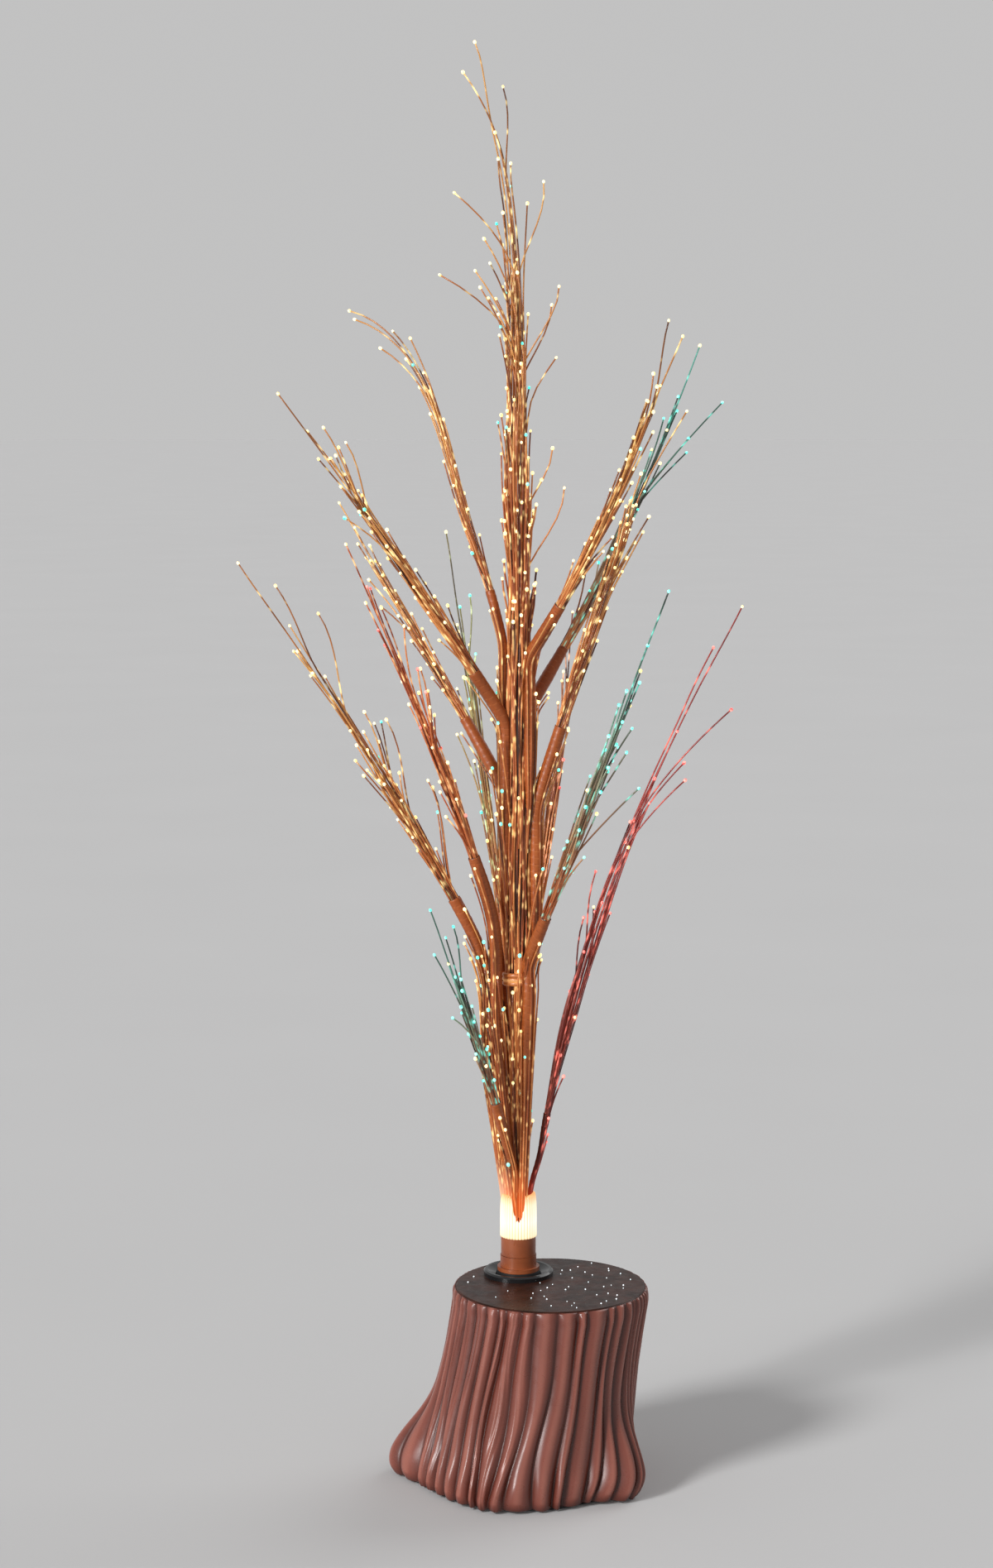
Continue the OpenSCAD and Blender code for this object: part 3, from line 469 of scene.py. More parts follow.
def add_object(name, data):
    made = bpy.data.objects.new(name, data)
    bpy.context.scene.collection.objects.link(made)
    return made


def new_object(name, points, faces, materials, kinds=None, values=None):
    """A smooth-shaded mesh object, with named values at its points where they are given."""
    mesh = bpy.data.meshes.new(name)
    mesh.from_pydata([tuple(p) for p in points], [], faces)
    for material in materials:
        mesh.materials.append(material)
    if kinds is not None:
        mesh.polygons.foreach_set("material_index", kinds)
    for title, numbers in (values or {}).items():
        layer = mesh.attributes.new(title, "FLOAT", "POINT")
        layer.data.foreach_set("value", np.asarray(numbers, np.float32))
    mesh.shade_smooth()
    mesh.update()
    return add_object(name, mesh)


class Bunch:
    """Collects strands and beads into one mesh."""

    def __init__(self):
        self.points, self.faces, self.kinds = [], [], []
        self.tone, self.along, self.count = [], [], 0

    def add(self, shape, kind=0, tone=1.0, along=None):
        points, faces = shape
        self.points.append(points)
        self.faces += [[i + self.count for i in face] for face in faces]
        self.kinds += [kind] * len(faces)
        self.tone.append(np.full(len(points), tone))
        self.along.append(np.zeros(len(points)) if along is None else along)
        self.count += len(points)

    def build(self, name, *materials):
        values = {"tone": np.concatenate(self.tone), "along": np.concatenate(self.along)}
        return new_object(name, np.concatenate(self.points), self.faces, materials, self.kinds, values)


def grid_faces(rows, columns, closed=False):
    """Faces between rows that go round; on a closed skin the last row joins the first."""
    faces = []
    for i in range(rows if closed else rows - 1):
        low, high = i * columns, (i + 1) % rows * columns
        for k in range(columns):
            m = (k + 1) % columns
            faces.append([low + k, low + m, high + m, high + k])
    return faces


def frames(path):
    """Two directions square to a path at each of its points, with no needless twist."""
    forward = np.gradient(path, axis=0)
    forward /= np.linalg.norm(forward, axis=1)[:, None]
    side = np.cross(forward[0], SKEW)
    sides = []
    for way in forward:
        side = unit(side - way * (side @ way))
        sides.append(side)
    return np.array(sides), np.cross(forward, sides)


def lengths(path):
    """How far along a path each of its points is."""
    return np.concatenate([[0], np.cumsum(np.linalg.norm(np.diff(path, axis=0), axis=1))])


def evened(path, step):
    """The same path with points at an even step, and its corners eased."""
    run = lengths(path)
    spots = np.linspace(0, run[-1], int(run[-1] / step))
    path = np.column_stack([np.interp(spots, run, path[:, axis]) for axis in range(3)])
    for i in range(EASING_PASSES):
        path[1:-1] = (path[:-2] + 2 * path[1:-1] + path[2:]) / 4
    return path


def tube(path, radius, corners):
    """Points and faces of a closed tube along a path, with one radius, one a ring or one a point."""
    path = np.asarray(path, float)
    sides, others = frames(path)
    if np.ndim(radius) < 2:
        radius = np.broadcast_to(radius, len(path))[:, None]
    angles = TURN * np.arange(corners) / corners
    cosines, sines = np.cos(angles)[None, :, None], np.sin(angles)[None, :, None]
    rings = cosines * sides[:, None, :] + sines * others[:, None, :]
    points = path[:, None, :] + radius[:, :, None] * rings
    faces = grid_faces(len(path), corners)
    last = (len(path) - 1) * corners
    faces += [list(range(corners))[::-1], [last + k for k in range(corners)]]
    return points.reshape(-1, 3), faces


def bead(center, radius, axis):
    """Points and faces of a small bead, drawn out a little along the axis."""
    around, rows, long = 8, 5, 1.15
    axis = unit(axis)
    side = unit(np.cross(axis, SKEW))
    other = np.cross(axis, side)
    points = [center - axis * radius * long]
    for i in range(1, rows):
        polar = math.pi * i / rows
        for k in range(around):
            a = TURN * k / around
            ring = (side * math.cos(a) + other * math.sin(a)) * math.sin(polar)
            points.append(center + radius * (ring - axis * math.cos(polar) * long))
    points.append(center + axis * radius * long)
    faces = [[0, 1 + (k + 1) % around, 1 + k] for k in range(around)]
    faces += [[1 + i for i in face] for face in grid_faces(rows - 1, around)]
    low = 1 + (rows - 2) * around
    faces += [[low + k, low + (k + 1) % around, len(points) - 1] for k in range(around)]
    return np.array(points), faces


def lit_strand(fibres, beads, line, radius, tone, size, kind=0, along=None):
    """Adds a fibre along a line, with a bead at its end."""
    fibres.add(tube(line, radius, FIBRE_CORNERS), 0, tone, along)
    beads.add(bead(line[-1], size, line[-1] - line[-2]), kind)


class Arc:
    """The line of a branch: a round arc in the upright plane of its bearing."""

    def __init__(self, foot, bearing, lean_foot, lean_tip, length, bow=0.0):
        self.bow = bow
        self.foot = np.asarray(foot, float)
        self.out = turned(bearing)
        self.sideways = turned(bearing + math.pi / 2)
        self.lean_foot, self.lean_tip = math.radians(lean_foot), math.radians(lean_tip)
        self.length = length

    def lean(self, s):
        return self.lean_foot + (self.lean_tip - self.lean_foot) * s / self.length

    def way(self, s):
        return math.sin(self.lean(s)) * self.out + math.cos(self.lean(s)) * UP

    def across(self, s):
        return math.cos(self.lean(s)) * self.out - math.sin(self.lean(s)) * UP

    def point(self, s):
        half = (self.lean_tip - self.lean_foot) * s / self.length / 2
        chord = s * np.sinc(half / math.pi)
        lean = self.lean_foot + half
        share = max(0.0, (s - STEM_LEN) / (self.length - STEM_LEN))
        bowed = -self.bow * BOW_PEAK * share ** 2 * (1 - share) * self.across(s)
        return self.foot + chord * (math.sin(lean) * self.out + math.cos(lean) * UP) + bowed

    def place(self, s, offset):
        return self.point(s) + self.across(s) * offset[0] + self.sideways * offset[1]

    def aimed(self, pixel):
        """How far along the arc, and how far beside it, a fibre ends that is seen at a pixel."""
        focal = LENS / SENSOR * PHOTO_HIGH
        right = (pixel[0] - PHOTO_WIDE / 2) / focal
        high = (PHOTO_HIGH / 2 - pixel[1]) / focal
        level, tilt = math.cos(CAMERA_PITCH), math.sin(CAMERA_PITCH)
        ray = unit(np.array([right, level + high * tilt, high * level - tilt]))
        nearest, farthest, tries = 0.1, 1.03, 280
        best = None
        for s in np.linspace(nearest, farthest, tries) * self.length:
            near = self.point(s)
            seen = CAMERA_PLACE + ray * ((near - CAMERA_PLACE) @ ray)
            gap = seen - near
            if best is None or np.linalg.norm(gap) < best[0]:
                best = (np.linalg.norm(gap), s, np.array([gap @ self.across(s), gap @ self.sideways]))
        return best[1], best[2]


# Sprays: ranges of the flick at a fibre's end, of its length and of the sway in mm, and of the sway's turns

FLICKS, FLICK_LENGTHS, SWAYS, SWAY_TURNS = (0.4, 3.2), (35, 80), (0.2, 0.9), (0.8, 2.2)
WILD_SHARE, WILD_TIMES = 0.15, 4.0
OPENED, OPENS_OVER, SWAYS_FROM = 1.4, 90 * MM, 30 * MM
LEAST_LEAD, NEAR_LEAD = 60 * MM, 9 * MM
RING_STEP, LEAST_RINGS = 8 * MM, 8


def spray(name, body, arc, start, count, bundle_r, look, mouth_r, lead_reach=3.4, lead_power=1.35):
    """A bundle of fibres along an arc, which end one after another, each in a lit bead."""
    fibres, beads = Bunch(), Bunch()
    main_bead, other_bead, other_share = BEADS[look]
    first_end, ends_down = 0.92, 0.86 if name in LOOSE else 0.76
    closed = min(0.8, mouth_r / bundle_r)
    targets = sorted((arc.aimed(pixel) for pixel in SEEN_TIPS[name]), key=lambda target: -target[0])
    pull = np.array([math.exp(-np.linalg.norm(offset) / NEAR_LEAD) for s, offset in targets])
    rank = np.argsort(np.argsort(np.arange(count) + rng.normal(0, 0.1 * count, count)))
    for k in range(count):
        angle = GOLDEN * k + rng.uniform(-0.3, 0.3)
        base = bundle_r * math.sqrt((rank[k] + 0.5) / count) * turned(angle)[:2]
        flick_way = turned(angle + rng.normal(0, 0.6))[:2]
        if name in LOOSE:
            flick_way[0] = abs(flick_way[0])
        flick = rng.uniform(*FLICKS) * MM * (WILD_TIMES if rng.random() < WILD_SHARE else 1.0)
        flick_len = rng.uniform(*FLICK_LENGTHS) * MM
        sway = rng.uniform(*SWAYS) * MM * turned(rng.uniform(0, TURN))[:2]
        sway_turns, sway_phase = rng.uniform(*SWAY_TURNS), rng.uniform(0, TURN)
        tone = rng.random()
        kind = int(rng.random() < other_share)
        size = rng.uniform(*TIP_BEADS) * MM
        seen = k < len(targets)
        leading = k if seen else int(rng.choice(len(targets), p=pull / pull.sum()))
        lead_s, lead_offset = targets[leading]
        lead_len = min(max(LEAST_LEAD, lead_reach * np.linalg.norm(lead_offset)), lead_s - start)
        turns_up = lead_offset[0] < 0
        if seen:
            end_s, flick = lead_s, 0.0
        else:
            late = (k - len(targets) + 1) / (count - len(targets))
            end_s = start + (arc.length - start) * (first_end - ends_down * late ** 0.85)
            end_s = min(end_s, (0.97 - 0.2 * tone) * lead_s)
        flick_len, flick = min(flick_len, 0.7 * (end_s - start)), min(flick, 0.14 * (end_s - start))
        rings = max(LEAST_RINGS, int((end_s - start) / RING_STEP))
        path = []
        for s in np.linspace(start, end_s, rings):
            opened = closed + (OPENED - closed) * smooth((s - start) / OPENS_OVER)
            loose = opened * (1 - 0.5 * smooth(s / lead_s))
            gone = np.clip((s - lead_s + lead_len) / lead_len, 0, 1)
            led = smooth(gone) if turns_up else gone ** lead_power
            bent = np.clip((s - end_s + flick_len) / flick_len, 0, 1) ** 1.8
            swing = sway * math.sin(TURN * sway_turns * (s - start) / arc.length + sway_phase)
            swing = swing * smooth((s - start) / SWAYS_FROM) * (1 - led)
            offset = base * loose * (1 - led ** 3) + lead_offset * led + flick * flick_way * bent + swing
            path.append(arc.place(s, offset))
        path = np.array(path)
        along = np.repeat(np.linspace(start, end_s, rings) / arc.length, FIBRE_CORNERS)
        radius = np.linspace(*SPRAY_FIBRE_R, rings) * MM
        lit_strand(fibres, beads, path, radius, tone, size, kind, along)
    made = fibres.build(name + "_fibre_spray", FIBRES[look])
    lit = beads.build(name + "_lit_tips", main_bead, other_bead)
    for piece in (made, lit):
        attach(piece, body)
    return made


# Stump: ribs of uneven width between wandering creases, drawn out into roots

RIBS, POINTS_A_RIB, BARK_ROWS = 50, 16, 96
ROW_POWER, CROWN_POWER = 1.25, 1.12
RIM_Z, RIM_R = PLATE_Z + 3.4 * MM, PLATE_R + 0.25 * MM
WINDOW_LOW, WINDOW_HIGH = np.array([-19.0, 33.0, 9.0]) * MM, np.array([25.0, 100.0, 41.0]) * MM

# Ranges that the ribs differ in: width and depth as shares, toe and bulge in mm
RIB_WIDTHS, RIB_DEPTHS, TOES, BULGES = (0.5, 1.75), (1.0, 1.45), (0, 1.8), (0.6, 2.2)

# How creases sway and wander
MOST_SWAY, SWAY_SHARES, CREASE_TURNS = math.radians(1.2), (0.3, 1.0), (0.5, 1.4)
WANDER, WANDER_TURNS = math.radians(1.6), 1.15

# How much a root narrows its ribs for each mm of its reach, and over how many of its half widths
ROOT_NARROWS, ROOT_SPREADS = 0.030, 1.7

# Ribs that are split: how many, how deep, how wide, and the ranges of the split's place and start
SPLIT_SHARE, SPLIT_DEPTH, SPLIT_WIDE = 0.35, 0.45, 0.09
SPLIT_PLACES, SPLIT_STARTS, SPLIT_LEN, SPLIT_EASE = (0.38, 0.62), (-0.2, 0.6), 0.75, 0.25

# Scored ribs: the depth, and the bearing and half width of each group in degrees
SCORE_DEPTH = 0.40 * MM
SCORED = [(246, 10), (60, 14), (200, 9)]


def shell_ring(angle, z, r):
    share = np.clip((z - FLOOR_Z) / (PLATE_Z - SPIGOT_H - FLOOR_Z), 0, 1)
    x, y = TOP_CENTER
    return np.column_stack([x * share + r * np.cos(angle), y * share + r * np.sin(angle), z])


def root_share(degrees, bearing, half_width):
    away = np.abs((degrees - bearing + 540) % 360 - 180)
    return np.exp(-(away / half_width) ** 2)


def stump():
    widths = rng.uniform(*RIB_WIDTHS, RIBS)
    rough_bearing = 360 * (np.arange(RIBS) + 0.5) / RIBS
    for bearing, reach, half_width in ROOTS:
        widths *= 1 - ROOT_NARROWS * reach * root_share(rough_bearing, bearing, ROOT_SPREADS * half_width)
    creases = TURN * np.concatenate([[0], np.cumsum(widths)]) / widths.sum()
    sway = rng.uniform(*SWAY_SHARES, RIBS) * MOST_SWAY
    sway_turns, sway_phase = rng.uniform(*CREASE_TURNS, RIBS), rng.uniform(0, TURN, RIBS)
    depth = RIB_DEPTH * rng.uniform(*RIB_DEPTHS, RIBS)
    toe = rng.uniform(*TOES, RIBS) * MM
    bulge = rng.uniform(*BULGES, RIBS) * MM
    split_at = rng.uniform(*SPLIT_PLACES, RIBS)
    split_depth = np.where(rng.random(RIBS) < SPLIT_SHARE, SPLIT_DEPTH, 0.0)
    split_from = rng.uniform(*SPLIT_STARTS, RIBS)
    middle = np.degrees(creases[:-1] + creases[1:]) / 2
    scored = SCORE_DEPTH * sum(root_share(middle, bearing, half_width) for bearing, half_width in SCORED)
    lump_phase = rng.uniform(0, TURN, RIBS)
    columns = RIBS * POINTS_A_RIB
    rib = np.repeat(np.arange(RIBS), POINTS_A_RIB)
    share = np.tile(np.arange(POINTS_A_RIB) / POINTS_A_RIB, RIBS)
    crown = (1 - np.abs(2 * share - 1) ** 2.0) ** CROWN_POWER
    toe_z, crease_lift, lump_deep = 0.9 * MM, 1.6 * MM, 0.5 * MM
    bulge_z, bulge_high, root_deep = 15 * MM, 11 * MM, 20 * MM
    edge_in, edge_z, edge_high = 4.2 * MM, 10 * MM, 10.3 * MM
    round_from, round_high, seat_from = 2 * MM, 5.6 * MM, 3 * MM
    points, shade_and_highlight_rows = [], []
    for v in np.linspace(0, 1, BARK_ROWS) ** ROW_POWER:
        drift = sway * np.sin(TURN * sway_turns * v + sway_phase) * (0.35 + 0.65 * (1 - v))
        phase = TURN * WANDER_TURNS * v + 2.2 * np.sin(2 * creases + 1)
        wander = WANDER * np.sin(phase + 1.3 * np.sin(5 * creases))
        edges = creases + np.append(drift, drift[0]) + wander * (1 - 0.5 * v)
        angle = edges[rib] + share * (edges[rib + 1] - edges[rib])
        low_z = toe_z + toe[rib] * crown + crease_lift * (1 - crown)
        z = low_z + (RIM_Z - low_z) * v
        up = z / STUMP_H
        root = np.zeros(columns)
        for bearing, reach, half_width in ROOTS:
            root += reach * MM * root_share(np.degrees(angle), bearing, half_width)
        root *= np.exp(-(z / ROOT_H) ** 3) * (1 - 0.22 * np.clip(1 - z / root_deep, 0, 1) ** 2)
        ends = split_from[rib] + SPLIT_LEN - v
        opened = smooth((v - split_from[rib]) / SPLIT_EASE) * smooth(ends / SPLIT_EASE)
        split = split_depth[rib] * np.exp(-((share - split_at[rib]) / SPLIT_WIDE) ** 2) * opened
        crest = np.clip(crown - split, 0, 1)
        score = scored[rib] * np.sin(share * TURN * 4 + 3 * np.sin(v * 9 + lump_phase[rib])) * crown
        lump = lump_deep * np.sin(v * 7 + lump_phase[rib]) * crown
        lump = lump + bulge[rib] * crown * np.exp(-((z - bulge_z) / bulge_high) ** 2)
        deep = depth[rib] * (1 + 0.6 * root / root_deep)
        r = TOP_R + (BASE_R - TOP_R) * (1 - up) ** 1.6 + root - deep * (1 - crest) + score + lump
        r -= edge_in * (1 - np.sqrt(1 - np.clip((edge_z - z) / edge_high, 0, 1) ** 2))
        rounding = np.clip((z - PLATE_Z + round_from) / round_high, 0, 1)
        r = r + (RIM_R - r) * (1 - np.sqrt(1 - rounding ** 2))
        r = np.where(z > PLATE_Z - seat_from, np.maximum(r, RIM_R), r)
        points.append(shell_ring(angle, z, r))
        # The stored values paint shade in the creases and highlight on the crests, and they fade over the
        # lowest rows, so the bark is darker towards its bottom edge as painted shade where it meets the
        # floor.
        shade_and_highlight_rows.append(crest * (0.25 + 0.75 * smooth(v / 0.05)))
    seat_z, seat_r = PLATE_Z - 0.1 * MM, PLATE_R + 0.12 * MM
    inner_top_r, inner_base_r = TOP_R - RIB_DEPTH - WALL, BASE_R - RIB_DEPTH - WALL
    inner = [
        (PLATE_Z + 3.2 * MM, seat_r), (seat_z, seat_r), (seat_z, inner_top_r),
        (PLATE_Z - SPIGOT_H, inner_top_r), (FLOOR_Z, inner_base_r - LEDGE), (FLOOR_Z, inner_base_r),
        (2.6 * MM, inner_base_r),
    ]
    for z, r in inner:
        points.append(shell_ring(angle, np.full(columns, z), np.full(columns, r)))
        shade_and_highlight_rows.append(np.full(columns, 0.3))
    faces = grid_faces(len(points), columns, closed=True)
    values = {"crest": np.concatenate(shade_and_highlight_rows)}
    made = new_object("stump_bark", np.concatenate(points), faces, [bark_material()], None, values)
    cut_window(made)
    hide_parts("stump_shell")
    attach(made, "base")


def cut_window(shell):
    """Opens the shell behind, where the rear panel sits."""
    corners = [[(WINDOW_LOW, WINDOW_HIGH)[i >> k & 1][k] for k in range(3)] for i in range(8)]
    sides = [[0, 2, 3, 1], [4, 5, 7, 6], [0, 1, 5, 4], [2, 6, 7, 3], [0, 4, 6, 2], [1, 3, 7, 5]]
    block = new_object("window_block", corners, sides, [])
    cut = shell.modifiers.new("window", "BOOLEAN")
    cut.operation = "DIFFERENCE"
    cut.solver = "EXACT"
    cut.object = block
    graph = bpy.context.evaluated_depsgraph_get()
    opened = bpy.data.meshes.new_from_object(shell.evaluated_get(graph))
    shell.modifiers.clear()
    shell.data = opened
    bpy.data.objects.remove(block)


def plate_glints():
    """Tiny lit beads on the top plate, most of them right of the trunk and behind it."""
    count, reach_mm, size_range = 46, 56, (0.26, 0.5)
    trunk_clear, apart, sparse_below = 25 * MM, 4 * MM, np.array([6.0, 14.0]) * MM
    left_out_sparse, left_out = 0.8, 0.1
    beads, spots = Bunch(), []
    while len(spots) < count:
        spot = TOP_CENTER + math.sqrt(rng.random()) * reach_mm * MM * turned(rng.uniform(0, TURN))[:2]
        crowded = np.linalg.norm(spot - TRUNK[:2]) < trunk_clear
        crowded = crowded or any(np.linalg.norm(spot - other) < apart for other in spots)
        keep = rng.random() > (left_out_sparse if np.all(spot < sparse_below) else left_out)
        size = rng.uniform(*size_range) * MM
        if keep and not crowded:
            spots.append(spot)
            beads.add(bead(np.array([*spot, STUMP_H + 0.1 * MM]), size, UP))
    made = beads.build("top_glints", BEAD_PALE)
    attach(made, "base")


# Trunk, collar, leader and branches: where the trunk is slim, where it tapers, and by how much

SLIM_FROM, SLIM_TO, SLIM_IN, SLIM_OUT, SLIMMER = 0.150, 0.330, 0.03, 0.06, 3.6 * MM
TAPER_FROM, TAPER_OVER, TAPER = 0.47, 0.09, 1.7 * MM


def trunk_r(z):
    slim = smooth((z - SLIM_FROM) / SLIM_IN) * smooth((SLIM_TO - z) / SLIM_OUT)
    return TRUNK_R - TAPER * smooth((z - TAPER_FROM) / TAPER_OVER) - SLIMMER * slim


def round_trunk(r, angle, z):
    return TRUNK + np.column_stack([r * np.cos(angle), r * np.sin(angle), z])


def trunk_strands(fibres, beads, low):
    """Strands all round the trunk, which end near its top."""
    count, rings, twist_from, twist_over, flare = 42, 56, 0.18, 0.38, 0.03
    sunk, ripple, weave = 0.72 * MM, 0.3 * MM, 0.08
    for k in range(count):
        angle = TURN * (k + rng.uniform(-0.3, 0.3)) / count
        twist, phase = rng.uniform(0.2, 0.6), rng.uniform(0, TURN)
        z = np.linspace(low, TRUNK_TOP + rng.uniform(-20, 70) * MM, rings)
        turn = angle + twist * (z - twist_from) / twist_over + weave * np.sin(z * 60 + phase)
        r = trunk_r(z) - sunk + ripple * np.sin(z * 90 + 2 * phase)
        r = r + rng.uniform(0.5, 5) * MM * smooth((z - z[-1] + flare) / flare)
        line = round_trunk(r, turn, z)
        lit_strand(fibres, beads, line, TRUNK_FIBRE_R, rng.random(), rng.uniform(*TRUNK_BEADS) * MM)


def trunk_twigs(fibres, beads):
    """Short fibres that stand out of the trunk, more of them low down than high up."""
    count, rings, lowest, highest_above = 64, 10, 0.178, 0.34
    sunk, lifted, other_share = 0.5 * MM, 1.2 * MM, BEADS["copper"][2]
    for k in range(count):
        angle, foot = rng.uniform(0, TURN), lowest + highest_above * rng.random() ** 1.3
        length, out = rng.uniform(25, 90) * MM, rng.uniform(1, 11) * MM
        off_clear = abs((math.degrees(angle) - CLEAR_BEARING + 540) % 360 - 180)
        if off_clear < CLEAR_HALF and foot < CLEAR_TOP:
            angle += math.radians(3 * CLEAR_HALF)
        t = np.linspace(0, 1, rings)
        z = foot + length * t
        r = trunk_r(z) - sunk + out * t ** 1.7 + lifted * smooth(t * 4)
        line = round_trunk(r, angle + rng.uniform(-0.35, 0.35) * t, z)
        tone, kind = rng.random(), int(rng.random() < other_share)
        lit_strand(fibres, beads, line, TWIG_R, tone, rng.uniform(*TWIG_BEADS) * MM, kind)


def collar_fan(fibres, beads):
    """Loose fibres that fan out of the collar, most of them on the left and a few on the right."""
    rings, low, lowest_end, other_share = 18, 0.176, 0.220, 0.4
    fan_from, fan_over = 0.13, 0.19
    sides = [(32, (150, 248), 0.340, (15, 33)), (6, (-65, -38), 0.27, (9, 20))]
    for count, bearings, highest_end, reaches in sides:
        for k in range(count):
            angle = math.radians(rng.uniform(*bearings))
            z = np.linspace(low, rng.uniform(lowest_end, highest_end), rings)
            t = (z - z[0]) / (z[-1] - z[0])
            far = rng.uniform(*reaches) * MM * (z[-1] - fan_from) / fan_over
            r = BUNDLE_OUT_R + (far - BUNDLE_OUT_R) * (0.75 * t + 0.25 * t ** 3)
            line = round_trunk(r, angle + rng.uniform(-0.3, 0.3) * t, z)
            tone, size = rng.random(), rng.uniform(*TIP_BEADS) * MM
            lit_strand(fibres, beads, line, TWIG_R, tone, size, int(rng.random() < other_share))


def trunk():
    rings, corners, core_in = 60, 20, 1.3 * MM
    core, fibres, beads = Bunch(), Bunch(), Bunch()
    low = COLLAR_LOW - 6 * MM
    heights = np.linspace(low, TRUNK_TOP, rings)
    # The dark core shows through the gaps between the strands as painted shade.
    core.add(tube(TRUNK + heights[:, None] * UP, trunk_r(heights) - core_in, corners), 0, 0.0)
    trunk_strands(fibres, beads, low)
    trunk_twigs(fibres, beads)
    collar_fan(fibres, beads)
    inside = core.build("trunk_inner", BUNDLE_SHADE)
    outside = fibres.build("trunk_fibres", FIBRES["copper"])
    lit = beads.build("trunk_lit_tips", BEAD_WARM, BEAD_TEAL)
    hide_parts("trunk_core")
    for piece in (inside, outside, lit):
        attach(piece, "tree")


def tape_ring():
    """A few turns of tape round the trunk."""
    turns, height, rings, corners, out, half_thick = 3, 8 * MM, 120, 8, 0.5 * MM, 1.5 * MM
    t = np.linspace(0, 1, rings)
    line = round_trunk(TRUNK_R + out, TURN * turns * t, TAPE_RING_Z + height * (t - 0.5))
    ring = Bunch()
    ring.add(tube(line, half_thick, corners), 0, 0.8)
    made = ring.build("trunk_tape", FIBRES["copper"])
    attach(made, "tree")


def collar():
    """The lit collar: bright fibres side by side, lower at the front, where the orange bundle shows."""
    columns, rows, flutes = 216, 22, 18
    notch_half, notch_power, notch_deep, ragged_deep = 26, 2.6, 16 * MM, 1.6 * MM
    lift, groove_in, flute_out, lip_in = 0.1 * MM, 0.85 * MM, 0.8 * MM, 0.9 * MM
    angle = TURN * np.arange(columns) / columns
    from_front = np.abs((np.degrees(angle) + 90 + 180) % 360 - 180)
    notch = np.clip(1 - (from_front / notch_half) ** notch_power, 0, 1)
    top = COLLAR_TOP - ragged_deep * np.abs(np.sin(angle * flutes + 1.0)) - notch_deep * notch
    flute = np.abs(np.sin(angle * flutes))
    points = []
    for v in (*np.linspace(0, 1, rows), 1.0, 0.0):
        inside = len(points) >= rows
        r = TRUNK_R + 0.2 * MM if inside else COLLAR_R - groove_in + flute_out * flute - lip_in * v ** 6
        points.append(round_trunk(r, angle, COLLAR_LOW + lift + (top - COLLAR_LOW) * v))
    faces = grid_faces(len(points), columns, closed=True)
    # The flute value also paints the glow darker in the grooves: painted shade.
    values = {"crest": np.tile(flute, len(points))}
    made = new_object("lit_collar", np.concatenate(points), faces, [glow_material()], None, values)
    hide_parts("glow_collar")
    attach(made, "tree")


def stem_strands(name, arc, path, radius, look, count):
    """Fibres that lie along a stem's outer side and end one after another, each in a lit bead."""
    fibres, beads = Bunch(), Bunch()
    look = look if look in ("red", "gold") else "copper"
    main_bead, other_bead, other_share = BEADS[look]
    sides, others = frames(path)
    outward = math.atan2(others[0] @ arc.out, sides[0] @ arc.out)
    half = 2.1 if count > FEW_STRANDS else 1.5
    step, full_flick, flick_range, off_tape = 7, 30, (0.5, 4.0), 0.5 * MM
    for k in range(count):
        picked = np.arange(0, int(len(path) * (1 - 0.6 * rng.random() ** 1.4)), step)
        t = np.linspace(0, 1, len(picked))
        flick = rng.uniform(*flick_range) * MM * min(1, len(picked) / full_flick)
        aside = half * (2 * (k + 0.5 + rng.uniform(-0.3, 0.3)) / count - 1)
        turn = (outward + aside + rng.uniform(-0.3, 0.3) * t)[:, None]
        reach = radius[picked] + off_tape + flick * t ** 5
        line = path[picked] + reach[:, None] * (np.cos(turn) * sides[picked] + np.sin(turn) * others[picked])
        along = np.repeat(0.5 * t, FIBRE_CORNERS)
        tone, kind = rng.random(), int(rng.random() < other_share)
        lit_strand(fibres, beads, line, TWIG_R, tone, rng.uniform(*TIP_BEADS) * MM, kind, along)
    made = fibres.build(name + "_stem_strands", FIBRES[look])
    lit = beads.build(name + "_stem_tips", main_bead, other_bead)
    return made, lit


